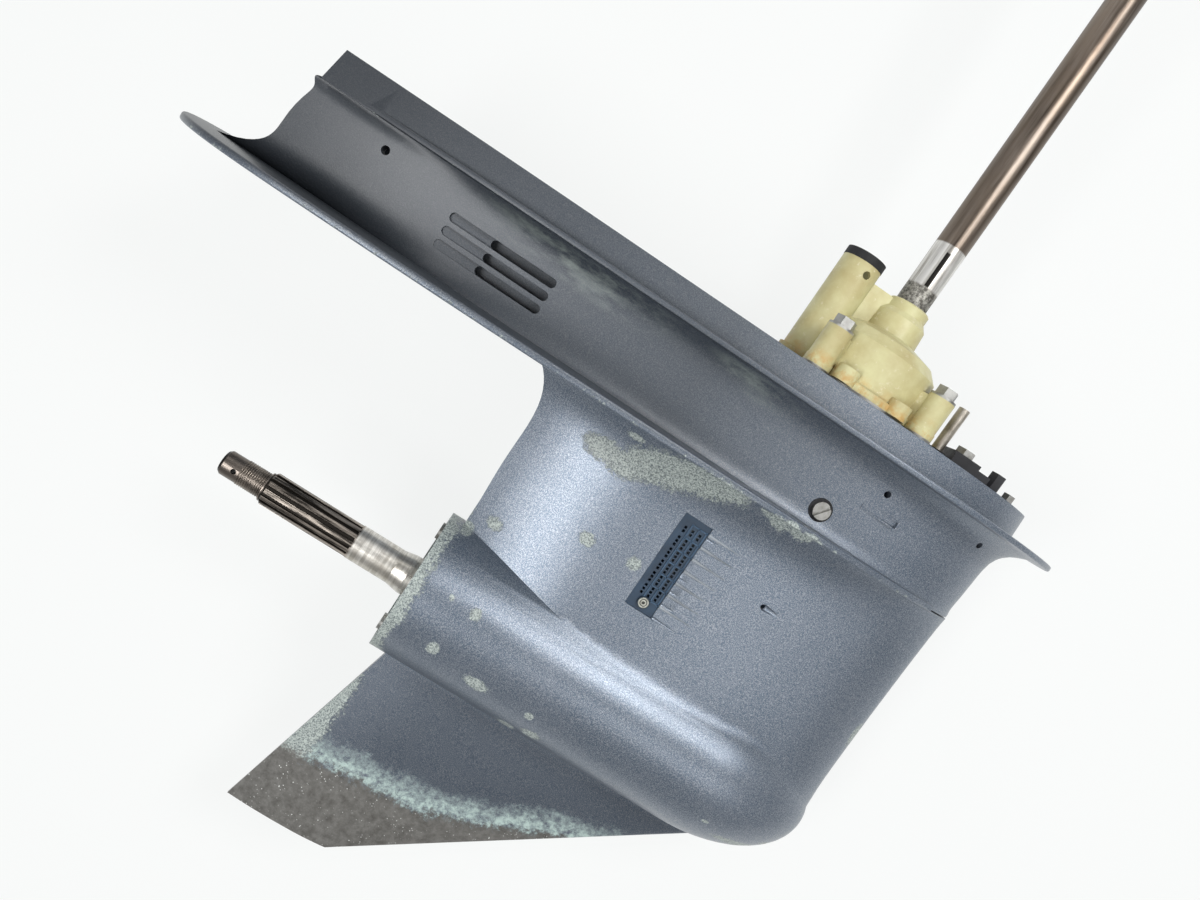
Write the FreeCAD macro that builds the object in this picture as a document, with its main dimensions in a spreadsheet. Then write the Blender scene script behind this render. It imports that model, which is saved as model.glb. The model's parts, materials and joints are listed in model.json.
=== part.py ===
import FreeCAD, Part
import math
import os
import re
import Sketcher

V = FreeCAD.Vector
X_AXIS = V(1, 0, 0)
Y_AXIS = V(0, 1, 0)
Z_AXIS = V(0, 0, 1)

# Driving dimensions, millimetres and degrees.
# The origin is on the deck, on the drive-shaft axis. +X is forward, +Y is port, +Z is up.
# Heights of the housing are measured up from the propeller-shaft axis, apart from those of the rim
# over the splash plate, the slots under that plate, the oil hole over the lower plate and the
# drive-shaft bearing under the deck.
DIMENSIONS = {
    "gearDrop": 279.0,
    "bulletRadius": 54.4,
    "bulletRear": 186.0,
    "noseStart": 60.0,
    "noseLength": 97.5,
    "strutNose": 155.5,
    "strutTail": 175.5,
    "strutHalf": 32.0,
    "strutTailHalf": 2.2,
    "hullHalf": 44.0,
    "hullRearFoot": 417.5,
    "hullRake": 0.247,
    "rimHalf": 55.0,
    "rimNose": 157.5,
    "rimRear": 399.5,
    "splashHeight": 23.3,
    "splashThick": 4.0,
    "splashHalf": 76.0,
    "splashTip": 195.0,
    "plateHeight": 186.0,
    "plateThick": 5.0,
    "plateHalf": 95.0,
    "plateTip": 471.5,
    "skegDepth": 216.0,
    "skegRootHalf": 8.5,
    "skegTipHalf": 3.2,
    "skegFront": 117.0,
    "skegSlope": 1.418,
    "skegBack": 156.5,
    "skegRake": 0.262,
    "exhaustFront": 95.0,
    "exhaustRear": 262.0,
    "exhaustFloor": 13.0,
    "exhaustHalf": 18.0,
    "galleryInner": 22.5,
    "galleryOuter": 33.0,
    "galleryFront": 200.0,
    "pocketRear": 378.0,
    "slotFront": 211.5,
    "slotRear": 292.0,
    "slotHigh": 6.6,
    "slotPitch": 9.8,
    "slotTop": 26.1,
    "boltSpaceX": 144.0,
    "boltSpaceY": 76.0,
    "boltHoleRadius": 5.0,
    "boltDepth": 28.0,
    "gearBore": 43.0,
    "rearBore": 48.0,
    "fit": 0.05,
    "seat": 0.1,
    "carrierSeatRear": 96.0,
    "carrierSeatFront": 52.0,
    "carrierHub": 29.0,
    "carrierRingRear": 3.0,
    "carrierRing": 8.0,
    "carrierBoltPlace": 40.0,
    "module": 3.08,
    "pinionTeeth": 13.0,
    "gearTeeth": 26.0,
    "faceWidth": 14.0,
    "backlash": 0.35,
    "gearBack": 31.0,
    "gearHubRadius": 20.0,
    "bearingFront": 48.0,
    "bearingRadius": 31.0,
    "rollerRadius": 2.6,
    "rollerCount": 12.0,
    "lugFace": 14.0,
    "lugHigh": 3.5,
    "lugInner": 13.2,
    "lugOuter": 20.5,
    "lugCount": 8.0,
    "lugAngle": 17.0,
    "dogRadius": 20.5,
    "dogHalf": 6.0,
    "shiftTravel": 3.6,
    "shaftEnd": 340.0,
    "threadRadius": 9.4,
    "splineStart": 306.5,
    "splineEnd": 234.0,
    "splineRadius": 12.7,
    "journalRadius": 13.2,
    "splineRoot": 11.2,
    "splineTeeth": 13.0,
    "journalEnd": 200.0,
    "flareEnd": 190.0,
    "shaftRadius": 15.0,
    "shaftStep": 70.0,
    "frontRadius": 11.0,
    "shaftFront": 42.0,
    "sliderRadius": 5.2,
    "driveRadius": 11.5,
    "driveTop": 480.0,
    "driveEnd": 47.0,
    "driveEndRadius": 11.0,
    "driveLower": 9.5,
    "pinionHub": 52.0,
    "needleLow": 60.0,
    "needleHigh": 86.0,
    "needleRadius": 17.0,
    "driveBearingLow": 41.0,
    "driveBearingHigh": 21.0,
    "driveBearingRadius": 21.0,
    "rodPlace": 76.0,
    "rodRadius": 4.2,
    "rodTop": 39.0,
    "pivotPlace": 60.0,
    "pivotHeight": 14.0,
    "pivotRadius": 3.0,
    "leverHalf": 3.0,
    "cradleRadius": 9.5,
    "screenNear": 32.5,
    "screenFar": 54.5,
    "screenLow": 76.0,
    "screenHigh": 152.0,
    "screenThick": 3.0,
    "screenSunk": 1.3,
    "screenHole": 2.0,
    "oilPlace": 17.4,
    "oilHeight": 18.0,
    "oilRadius": 5.0,
    "drainPlace": 40.0,
    "pumpPlate": 1.6,
    "pumpGasket": 0.6,
    "pumpRadius": 45.0,
    "pumpShoulder": 36.5,
    "pumpTop": 42.0,
    "hubRadius": 19.0,
    "hubHigh": 67.5,
    "collarRadius": 15.4,
    "collarHigh": 75.0,
    "tubePlace": 45.0,
    "tubeRadius": 14.7,
    "tubeBore": 9.5,
    "tubeHigh": 80.0,
    "tubeFloor": 3.8,
    "grommetHigh": 6.0,
    "screwBack": 41.0,
    "screwFront": 43.0,
    "screwSide": 38.0,
    "bossRadius": 9.4,
    "bossHigh": 30.5,
    "screwRadius": 3.0,
    "inletPlace": 27.5,
    "linerRadius": 30.0,
    "linerThick": 1.5,
    "impellerHigh": 18.0,
    "impellerHub": 17.0,
    "coverFront": 115.5,
    "coverBolt": 95.3,
    "fittingPlace": 125.7,
    "studPlace": 141.2,
}

doc = FreeCAD.newDocument("LowerUnit")
sheet = doc.addObject("Spreadsheet::Sheet", "Dims")
for row, (alias, value) in enumerate(DIMENSIONS.items(), 1):
    sheet.set(f"A{row}", alias)
    sheet.set(f"B{row}", str(value))
    sheet.setAlias(f"B{row}", alias)
doc.recompute()
nodes = {}


# Reads a size, and turns a formula of size names into one that the document can bind.
def size(alias):
    return float(sheet.get(alias))


def bound(formula):
    return re.sub(r"[A-Za-z]\w*", lambda word: "Dims." + word[0] if word[0] in DIMENSIONS else word[0], formula)


def number(formula):
    return float(sheet.evalExpression(bound(formula)))


def bind(item, prop, formula):
    item.setExpression(prop, bound(formula))


def keep(label, item):
    item.Label = label
    nodes[label] = item
    return item


def place(item, at, along="Z"):
    turn = {"Z": (0, 0, 0), "X": (0, 90, 0), "Y": (0, 0, -90)}[along]
    item.Placement = FreeCAD.Placement(V(0, 0, 0), FreeCAD.Rotation(*turn))
    for prop, formula in zip(("x", "y", "z"), at):
        if formula != "0":
            bind(item, "Placement.Base." + prop, formula)
    return item


# Primitives and booleans whose sizes are formulas of the sheet.
def cylinder(name, radius, height, at=("0", "0", "0"), along="Z"):
    item = doc.addObject("Part::Cylinder", name)
    bind(item, "Radius", radius)
    bind(item, "Height", height)
    return place(item, at, along)


def box(name, length, width, height, at=("0", "0", "0")):
    item = doc.addObject("Part::Box", name)
    bind(item, "Length", length)
    bind(item, "Width", width)
    bind(item, "Height", height)
    return place(item, at)


def hexagon(name, flats, height, at=("0", "0", "0"), along="Z"):
    item = doc.addObject("Part::Prism", name)
    item.Polygon = 6
    bind(item, "Circumradius", f"({flats}) / sqrt(3)")
    bind(item, "Height", height)
    return place(item, at, along)


def fused(label, parts):
    item = doc.addObject("Part::MultiFuse", label)
    item.Shapes = parts
    item.Refine = True
    return item


def without(label, base, tools):
    tool = tools[0]
    if len(tools) > 1:
        tool = fused(label + "_tools", tools)
    item = doc.addObject("Part::Cut", label)
    item.Base = base
    item.Tool = tool
    return item


# A turned piece: a sketched half profile, revolved about Z or X. Points are (along, out).
def turned(label, points, about="Z", at=("0", "0", "0")):
    body = doc.addObject("PartDesign::Body", label)
    plane = [item for item in body.Origin.OriginFeatures if item.Role == "XZ_Plane"][0]
    sketch = body.newObject("Sketcher::SketchObject", label + "_profile")
    sketch.AttachmentSupport = [(plane, "")]
    sketch.MapMode = "FlatFace"
    pairs = [(out, along) if about == "Z" else (along, out) for along, out in points]
    corners = [V(number(first), number(second), 0) for first, second in pairs]
    count = len(corners)
    for index in range(count):
        sketch.addGeometry(Part.LineSegment(corners[index], corners[(index + 1) % count]), False)
    for index in range(count):
        sketch.addConstraint(Sketcher.Constraint("Coincident", index, 2, (index + 1) % count, 1))
    for index, pair in enumerate(pairs):
        for kind, axis, formula, value in zip(("DistanceX", "DistanceY"), (-2, -1), pair, corners[index]):
            if abs(value) < 1e-9:
                sketch.addConstraint(Sketcher.Constraint("PointOnObject", index, 1, axis))
            else:
                made = sketch.addConstraint(Sketcher.Constraint(kind, -1, 1, index, 1, value))
                bind(sketch, f"Constraints[{made}]", formula)
    turn = body.newObject("PartDesign::Revolution", label + "_turn")
    turn.Profile = sketch
    turn.ReferenceAxis = (sketch, ["V_Axis" if about == "Z" else "H_Axis"])
    turn.Angle = 360
    body.Tip = turn
    return place(body, at)


def ring(label, inner, outer, low, high, about="Z", at=("0", "0", "0")):
    return turned(label, [(low, inner), (low, outer), (high, outer), (high, inner)], about, at)


# A piece whose shape is made with Part's own functions.
def shaped(label, shape, height=0.0):
    item = doc.addObject("Part::Feature", label)
    own = shape.Placement
    item.Shape = shape
    item.Placement = moved(z=height).multiply(own)
    return item


def copies(label, source, places):
    doc.recompute()
    made = []
    for spot in places:
        piece = source.Shape.copy()
        piece.Placement = spot.multiply(piece.Placement)
        made.append(piece)
    return shaped(label, Part.makeCompound(made))


def moved(x=0.0, y=0.0, z=0.0, axis=Z_AXIS, angle=0.0):
    return FreeCAD.Placement(V(x, y, z), FreeCAD.Rotation(axis, angle))


def smooth(points, z):
    curve = Part.BSplineCurve()
    curve.interpolate([V(x, y, z) for x, y in points])
    return curve.toShape()


# A closed plan outline at one height: a smooth side, round the nose and back, shut by a flat tail.
def outline(side, nose, z):
    whole = side + [(nose, 0.0)] + [(x, -y) for x, y in reversed(side)]
    curve = smooth(whole, z)
    tail = Part.makeLine(V(whole[-1][0], whole[-1][1], z), V(whole[0][0], whole[0][1], z))
    return Part.Wire([curve, tail])


def prism(points, low, high):
    wire = Part.makePolygon([V(x, y, low) for x, y in points + points[:1]])
    return Part.Face(wire).extrude(V(0, 0, high - low))


def mirroredOutline(side):
    return side + [(x, -y) for x, y in reversed(side)]


def rod(radius, start, end):
    return Part.makeCylinder(radius, (end - start).Length, start, end - start)


# The strut is a loft of plan sections that flare into the bullet below and the plate above.
def strutSolid():
    nose = size("strutNose")
    tail = -size("strutTail")
    half = size("strutHalf")
    blunt = size("strutTailHalf")
    radius = size("bulletRadius")
    top = size("plateHeight")
    stations = [
        (0.0, 0.0, 1.00 * radius - 2.0),
        (0.45 * radius, 0.0, 0.89 * radius),
        (0.72 * radius, 0.0, 0.715 * radius),
        (radius, 0.0, 1.09 * half),
        (screenMiddle() - 0.5 * screenLength(), 0.0, half),
        (screenMiddle() + 0.5 * screenLength(), 2.0, half),
        (top - 20.0, 6.0, 1.09 * half),
        (top - 8.0, 14.0, 1.25 * half),
        (top + 1.0, 28.0, 1.5 * half),
    ]
    wires = []
    for height, sweep, wide in stations:
        back = tail - sweep
        chord = nose - back
        thick = [(0.0, blunt / wide), (0.08, 0.42), (0.23, 0.84), (0.42, 1.0), (0.62, 1.0), (0.82, 0.84), (0.945, 0.5)]
        side = [(back + share * chord, wide * part) for share, part in thick]
        wires.append(outline(side, nose + 0.0085 * max(height - 100.0, 0.0), height))
    return Part.makeLoft(wires, True, False)


def screenMiddle():
    return 0.5 * (size("screenLow") + size("screenHigh"))


def screenLength():
    return size("screenHigh") - size("screenLow")


# The hull carries the exhaust chamber aft. It fairs into the lower plate and flares under the upper one.
def splashLevel():
    return size("gearDrop") - size("splashHeight")


def hullSolid():
    half = size("hullHalf")
    foot = size("plateHeight")
    top = splashLevel()
    rise = top - foot
    rear = size("hullRearFoot")
    rake = size("hullRake")
    tip = size("plateTip")
    nose = size("strutNose")
    stations = [
        (foot + 0.03 * rise, nose, tip - 6.0, 4.0, 1.12 * half),
        (foot + 0.093 * rise, nose, rear + 26.0, 14.0, 1.00 * half),
        (foot + 0.172 * rise, nose, rear + 10.0, 20.0, 0.965 * half),
        (foot + 0.287 * rise, nose + 0.6, rear - rake * 2.0, 24.0, 0.955 * half),
        (foot + 0.545 * rise, nose + 1.2, rear - rake * 20.0, 26.0, 1.00 * half),
        (foot + 0.80 * rise, nose + 4.5, rear - rake * 38.0, 28.0, 1.07 * half),
        (foot + 0.914 * rise, nose + 12.0, rear - rake * 46.0, 29.0, 1.15 * half),
        (top + 1.0, nose + 30.0, rear - rake * 53.0, 30.0, 1.32 * half),
    ]
    wires = []
    for height, front, back, tailHalf, wide in stations:
        side = [
            (-back, tailHalf),
            (-back + 55.0, tailHalf + 5.0),
            (-250.0, 0.84 * wide),
            (-110.0, 0.96 * wide),
            (20.0, wide),
            (0.62 * front, 0.83 * wide),
            (0.91 * front, 0.42 * wide),
        ]
        wires.append(outline(side, front, height))
    return Part.makeLoft(wires, True, False)


def rimSolid():
    half = size("rimHalf")
    nose = size("rimNose")
    rear = size("rimRear")
    wires = []
    for height, grow in ((splashLevel(), 1.5), (size("gearDrop"), 0.0)):
        side = [
            (-rear - 3.0 * grow, 30.0 + grow),
            (-rear + 60.0, 37.0 + grow),
            (-250.0, 0.82 * half + grow),
            (-110.0, 0.94 * half + grow),
            (20.0, half + grow),
            (0.60 * nose, 0.83 * half + grow),
            (0.89 * nose, 0.46 * half + grow),
        ]
        wires.append(outline(side, nose + grow, height))
    return Part.makeLoft(wires, True, True)


def splashPlate():
    half = size("splashHalf")
    tip = size("splashTip")
    rear = size("rimRear") - 8.0
    side = [
        (-rear, 30.0),
        (-rear + 90.0, 0.63 * half),
        (-160.0, 0.84 * half),
        (-20.0, 0.97 * half),
        (60.0, half),
        (0.64 * tip, 0.84 * half),
        (0.89 * tip, 0.47 * half),
    ]
    face = Part.Face(outline(side, tip, splashLevel()))
    slab = face.extrude(V(0, 0, size("splashThick")))
    return slab.makeFillet(0.3 * size("splashThick"), [edge for edge in slab.Edges if edge.Length > 2 * rear])


def lowerPlate():
    half = size("plateHalf")
    tip = size("plateTip")
    low = size("plateHeight")
    side = [
        (130.0, 0.30 * half),
        (70.0, 0.56 * half),
        (-20.0, 0.76 * half),
        (-130.0, 0.92 * half),
        (-250.0, half),
        (-350.0, 0.97 * half),
        (-0.905 * tip, 0.79 * half),
        (-0.975 * tip, 0.45 * half),
    ]
    face = Part.Face(outline(side, -tip, low))
    slab = face.extrude(V(0, 0, size("plateThick")))
    return slab.makeFillet(0.3 * size("plateThick"), [edge for edge in slab.Edges if edge.Length > 2 * tip])


# The bullet is a turned form: a straight barrel with an elliptical nose.
def bulletSolid():
    radius = size("bulletRadius")
    start = size("noseStart")
    length = size("noseLength")
    rear = -size("bulletRear")
    ellipse = Part.Ellipse(V(start + length, 0, 0), V(start, 0, radius), V(start, 0, 0))
    quarter = Part.Arc(ellipse, 0.0, 0.5 * math.pi).toShape()
    ends = sorted((vertex.Point for vertex in quarter.Vertexes), key=lambda point: point.x)
    edges = [
        Part.makeLine(V(rear, 0, 0), V(rear, 0, radius)),
        Part.makeLine(V(rear, 0, radius), ends[0]),
        quarter,
        Part.makeLine(ends[1], V(rear, 0, 0)),
    ]
    face = Part.Face(Part.Wire(Part.__sortEdges__(edges)))
    return face.revolve(V(0, 0, 0), X_AXIS, 360)


# The skeg is a ruled blade between a root inside the bullet and its lower edge.
def skegSolid():
    depth = size("skegDepth")
    root = 0.7 * size("bulletRadius")
    wires = []
    for low, half in ((root, size("skegRootHalf")), (depth, size("skegTipHalf"))):
        front = size("noseStart") + size("skegFront") - size("skegSlope") * low
        back = -size("skegBack") - size("skegRake") * low
        chord = front - back
        side = [(back, 0.35 * half), (back + 0.3 * chord, 0.92 * half), (back + 0.6 * chord, half), (back + 0.9 * chord, 0.5 * half)]
        wires.append(outline(side, front, -low))
    return Part.makeLoft(wires, True, True)


def exhaustCuts():
    front = -size("exhaustFront")
    rear = -size("exhaustRear")
    floor = size("plateHeight") + size("exhaustFloor")
    top = size("gearDrop") + 1.0
    half = size("exhaustHalf")
    inner = size("galleryInner")
    outer = size("galleryOuter")
    chamber = prism(mirroredOutline([(front, 1.2 * half), (rear, half)]), floor, top)
    gallery = prism(mirroredOutline([(-size("galleryFront"), outer), (rear, outer - 4.0)]), floor + 6.0, top)
    gallery = gallery.cut(prism(mirroredOutline([(front, inner), (rear, inner)]), floor, top))
    back = -size("pocketRear")
    pocket = prism(mirroredOutline([(rear - 12.0, inner + 3.0), (back, inner - 3.0)]), floor + 12.0, top)
    tail = -size("strutTail")
    down = prism(mirroredOutline([(front + 18.0, half), (front - 30.0, 0.75 * half), (tail + 36.0, 0.43 * half)]), 0.0, floor + 1.0)
    rearRoom = rod(size("rearBore"), V(-size("bulletRear") - 1.0, 0, 0), V(-size("carrierSeatRear"), 0, 0))
    return [chamber, gallery, pocket, down, rearRoom]


# Three slots a side: open to the water gallery forward, and a shallow pocket aft of its end wall.
def slotCuts():
    cuts = []
    bend = 0.5 * size("slotHigh")
    highest = splashLevel() - size("slotTop")
    room = highest - size("plateHeight") - size("exhaustFloor")
    for index in range(min(3, 1 + int(room / size("slotPitch")))):
        middle = highest - index * size("slotPitch")
        for side in (-1, 1):
            front = -size("slotFront") - bend
            rear = -size("slotRear") + bend
            shallow = side * (size("hullHalf") - 11.0)
            deep = side * (0.5 * (size("galleryInner") + size("galleryOuter")))
            far = side * 90.0
            cuts.append(prismXZ(rear, front, middle, bend, shallow, far))
            cuts.append(prismXZ(-size("exhaustRear") + bend + 1.0, front, middle, bend, deep, far))
    return cuts


def prismXZ(rear, front, middle, radius, start, end):
    edges = [
        Part.makeLine(V(rear, start, middle - radius), V(front, start, middle - radius)),
        Part.Arc(V(front, start, middle - radius), V(front + radius, start, middle), V(front, start, middle + radius)).toShape(),
        Part.makeLine(V(front, start, middle + radius), V(rear, start, middle + radius)),
        Part.Arc(V(rear, start, middle + radius), V(rear - radius, start, middle), V(rear, start, middle - radius)).toShape(),
    ]
    return Part.Face(Part.Wire(edges)).extrude(V(0, end - start, 0))


def shaftCuts():
    fit = size("fit")
    top = size("gearDrop") + 1.0
    gearBack = size("gearBack")
    cuts = [
        rod(size("gearBore") + fit, V(-size("carrierSeatRear") - 1.0, 0, 0), V(gearBack + 3.0, 0, 0)),
        rod(size("bearingRadius") + fit, V(0, 0, 0), V(size("bearingFront"), 0, 0)),
        rod(0.6 * size("gearBore"), V(0, 0, 0), V(0, 0, size("needleLow") - 4.0)),
        rod(size("needleRadius") + fit, V(0, 0, 0), V(0, 0, size("needleHigh"))),
        rod(size("driveRadius") + 3.0, V(0, 0, 0), V(0, 0, top)),
        rod(size("driveBearingRadius") + fit, V(0, 0, size("gearDrop") - size("driveBearingLow")), V(0, 0, top)),
        rod(size("rodRadius") + 2.0, V(size("rodPlace"), 0, 0), V(size("rodPlace"), 0, top)),
        Part.makeBox(40.0, 2 * shiftRoomHalf(), 44.0, V(size("bearingFront") - 1.0, -shiftRoomHalf(), -14.0)),
        rod(size("pivotRadius") + fit, V(size("pivotPlace"), -20, size("pivotHeight")), V(size("pivotPlace"), 20, size("pivotHeight"))),
    ]
    return cuts


def shiftRoomHalf():
    return size("cradleRadius") + 2.5


# The screens sit in one window through the strut, which feeds a channel up to the pump.
def waterCuts():
    near = -size("screenNear")
    far = -size("screenFar")
    low = size("screenLow")
    high = size("screenHigh")
    top = size("gearDrop") + 1.0
    window = Part.makeBox(near - far, 200.0, high - low, V(far, -100.0, low))
    channel = Part.makeBox(near - far - 2.0, 30.0, size("gearDrop") - 6.0 - low, V(far, -15.0, low))
    shelf = Part.makeBox(-size("inletPlace") + 5.5 - far, 16.0, 14.0, V(far, -8.0, size("gearDrop") - 13.0))
    cuts = [window, channel, shelf]
    for index in range(7):
        height = low + 1.0 + index * (high - low - 9.0) / 6.0
        for side in (-1, 1):
            start = V(near, side * (size("strutHalf") + 0.4), height)
            end = V(near + 24.0, side * (size("strutHalf") + 1.1), height)
            cuts.append(Part.makeCone(1.5, 0.5, (end - start).Length, start, end - start))
    inlet = 28.4
    for side in (-1, 1):
        cuts.append(rod(2.0, V(inlet, side * 20.0, 125.4), V(inlet, side * 60.0, 125.4)))
        start = V(inlet, side * (size("strutHalf") - 1.0), 125.4)
        end = V(inlet + 25.0, side * (size("strutHalf") + 1.6), 125.4)
        cuts.append(Part.makeCone(2.6, 1.2, (end - start).Length, start, end - start))
    return cuts


def sideHoles():
    cuts = []
    for place, under, radius in ((-347.4, 15.0, 3.0), (48.2, 18.3, 2.5), (128.9, 11.9, 2.3)):
        height = splashLevel() - under
        for side in (-1, 1):
            cuts.append(rod(radius, V(place, side * 14.0, height), V(place, side * 80.0, height)))
    return cuts


def deckHoles():
    cuts = []
    for sx in (-1, 1):
        for sy in (-1, 1):
            x = 0.5 * sx * size("boltSpaceX")
            y = 0.5 * sy * size("boltSpaceY")
            deck = size("gearDrop")
            cuts.append(rod(size("boltHoleRadius"), V(x, y, deck - size("boltDepth")), V(x, y, deck + 1.0)))
    for place in (size("coverBolt"), size("fittingPlace"), size("studPlace")):
        cuts.append(rod(3.0, V(place, 0, size("gearDrop") - 14.0), V(place, 0, size("gearDrop") + 1.0)))
    for x, y in screwPlaces():
        cuts.append(rod(size("screwRadius"), V(x, y, size("gearDrop") - 16.0), V(x, y, size("gearDrop") + 1.0)))
    return cuts


# A plug's hole with the flat seat around it, turned as one form about a line along Y.
def plugHole(x, z, side, face, deep):
    radius = size("oilRadius")
    seat = 8.4
    rows = [(face + 12.0, 0.0), (face + 12.0, seat), (face, seat), (face, radius), (face - deep, radius), (face - deep, 0.0)]
    corners = [V(x + out, side * away, z) for away, out in rows]
    return Part.Face(Part.makePolygon(corners + corners[:1])).revolve(V(x, 0, z), Y_AXIS, 360)


def plugHoles():
    return [
        plugHole(size("oilPlace"), oilLevel(), -1, oilFace() - 0.6, 14.0),
        plugHole(size("drainPlace"), 0.0, 1, drainDistance(), 18.0),
    ]


def oilLevel():
    return size("plateHeight") + size("oilHeight")


def oilFace():
    return size("hullHalf") - 1.6


def drainDistance():
    return size("bulletRadius") - 1.2


def screwPlaces():
    side = size("screwSide")
    return [(-size("screwBack"), -side), (-size("screwBack"), side), (size("screwFront"), -side), (size("screwFront"), side)]


def carrierRear():
    return size("carrierRingRear") - size("bulletRear")


def carrierBosses():
    spot = size("carrierBoltPlace")
    rear = carrierRear() + size("carrierRing")
    made = []
    for side in (-1, 1):
        boss = rod(10.0, V(rear, 0, side * (spot + 2.0)), V(-size("carrierSeatRear"), 0, side * (spot + 2.0)))
        limit = rod(size("bulletRadius") - 1.0, V(rear, 0, 0), V(-size("carrierSeatRear"), 0, 0))
        boss = boss.common(limit)
        hole = rod(4.0, V(rear, 0, side * spot), V(rear + 40.0, 0, side * spot))
        clear = rod(size("carrierHub") + 2.0, V(rear, 0, 0), V(-size("carrierSeatRear") + 1.0, 0, 0))
        made.append(boss.cut(hole).cut(clear))
    return made


def gearcaseHousing():
    body = strutSolid()
    for piece in (bulletSolid(), skegSolid(), hullSolid(), rimSolid(), splashPlate(), lowerPlate()):
        body = body.fuse(piece)
    body = body.cut(exhaustCuts()).cut(shaftCuts())
    body = body.fuse(carrierBosses())
    low = oilLevel() + 16.3
    frame = Part.makeBox(28.8, 2.0, 6.0, V(38.7, -oilFace() - 1.2, low))
    bare = Part.makeBox(27.2, 4.0, 4.6, V(39.5, -oilFace() - 3.2, low + 0.7))
    body = body.fuse(frame.cut(bare))
    body = body.cut(slotCuts()).cut(waterCuts())
    body = body.cut(sideHoles()).cut(deckHoles())
    for tool in plugHoles():
        body = body.cut(tool)
    return max(body.Solids, key=lambda solid: solid.Volume)


def bevelOutline(teeth, other, at):
    module = size("module")
    pitch = 0.5 * module * teeth
    cone = math.atan2(teeth, other)
    virtual = pitch / math.cos(cone)
    base = virtual * math.cos(math.radians(20.0))
    tip = virtual + 0.80 * module
    root = virtual - 1.12 * module
    reach = pitch / math.sin(cone)
    half = (0.25 * math.pi * module - 0.5 * size("backlash")) / virtual
    involute = lambda radius: math.tan(math.acos(min(1.0, base / radius))) - math.acos(min(1.0, base / radius))
    steps = [max(root, base), 0.5 * (max(root, base) + virtual), virtual, 0.5 * (virtual + tip), tip]
    flank = [(root, half + involute(virtual) + 0.0)] if root < base else []
    flank += [(radius, half + involute(virtual) - involute(radius)) for radius in steps]
    points = []
    for tooth in range(int(teeth)):
        middle = 2.0 * math.pi * tooth / teeth
        for side, rows in ((-1, flank), (1, list(reversed(flank)))):
            for radius, spread in rows:
                turn = middle + side * spread * virtual / pitch
                out = radius - virtual
                distance = pitch + out * math.cos(cone)
                height = reach * math.cos(cone) - out * math.sin(cone)
                grow = at / height
                points.append(V(distance * grow * math.cos(turn), distance * grow * math.sin(turn), at))
    return points


# A straight bevel gear with its cone apex at the origin and its axis along Z.
# Every flank runs to the apex, so its facets are flat.
def bevelGear(teeth, other, blank):
    near = bevelOutline(teeth, other, 0.8 * min(along for out, along in blank))
    far = bevelOutline(teeth, other, 1.1 * max(along for out, along in blank))
    faces = [Part.Face(Part.makePolygon(points + points[:1])) for points in (near, far)]
    for index in range(len(near)):
        after = (index + 1) % len(near)
        corners = [near[index], near[after], far[after], far[index], near[index]]
        faces.append(Part.Face(Part.makePolygon(corners)))
    cone = Part.makeSolid(Part.makeShell(faces))
    if cone.Volume < 0:
        cone.reverse()
    wire = Part.makePolygon([V(out, 0, along) for out, along in blank + blank[:1]])
    return Part.Face(wire).revolve(V(0, 0, 0), Z_AXIS, 360).common(cone)


def toothLimits(teeth, other):
    module = size("module")
    pitch = 0.5 * module * teeth
    cone = math.atan2(teeth, other)
    reach = pitch / math.sin(cone)
    inner = reach - size("faceWidth")
    add = (0.80 * module * math.cos(cone), 0.80 * module * math.sin(cone))
    deep = (2.2 * module * math.cos(cone), 2.2 * module * math.sin(cone))
    outerTip = (reach * math.sin(cone) + add[0], reach * math.cos(cone) - add[1])
    outerDeep = (reach * math.sin(cone) - deep[0], reach * math.cos(cone) + deep[1])
    innerTip = (inner * math.sin(cone) + add[0], inner * math.cos(cone) - add[1])
    innerDeep = (inner * math.sin(cone) - deep[0], inner * math.cos(cone) + deep[1])
    return outerTip, outerDeep, innerTip, innerDeep


def ringGear(lugStart):
    outerTip, outerDeep, innerTip, innerDeep = toothLimits(size("gearTeeth"), size("pinionTeeth"))
    back = size("gearBack")
    bore = size("frontRadius") + size("fit")
    hub = size("gearHubRadius")
    face = size("lugFace")
    blank = [
        outerTip,
        outerDeep,
        (outerDeep[0], back),
        (hub, back),
        (hub, size("bearingFront") - 1.0),
        (bore, size("bearingFront") - 1.0),
        (bore, face),
        (size("lugOuter") + 0.5, face),
        innerTip,
    ]
    gear = bevelGear(size("gearTeeth"), size("pinionTeeth"), blank)
    lugs = dogLugs(size("lugInner"), size("lugOuter"), face - size("lugHigh"), face + 1.0, lugStart)
    return gear.fuse(lugs)


def pinionGear():
    outerTip, outerDeep, innerTip, innerDeep = toothLimits(size("pinionTeeth"), size("gearTeeth"))
    bore = size("driveLower") + 0.02
    hub = size("needleRadius") - 1.0
    blank = [
        innerTip,
        outerTip,
        (outerDeep[0], size("pinionHub") - 5.0),
        (hub, size("pinionHub") - 5.0),
        (hub, size("pinionHub")),
        (bore, size("pinionHub")),
        (bore, innerTip[1] + 0.6),
    ]
    return bevelGear(size("pinionTeeth"), size("gearTeeth"), blank)


def dogLugs(inner, outer, low, high, start):
    count = int(size("lugCount"))
    wide = size("lugAngle")
    ringShape = Part.makeCylinder(outer, high - low, V(0, 0, low)).cut(Part.makeCylinder(inner, high - low, V(0, 0, low)))
    reach = 2.0 * outer
    lugs = []
    for index in range(count):
        middle = math.radians(start + index * 360.0 / count)
        spread = math.radians(0.5 * wide)
        corners = [(0.0, 0.0)]
        corners += [(reach * math.cos(middle + part * spread), reach * math.sin(middle + part * spread)) for part in (-1, 1)]
        lugs.append(prism(corners, low, high).common(ringShape))
    return lugs


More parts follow.
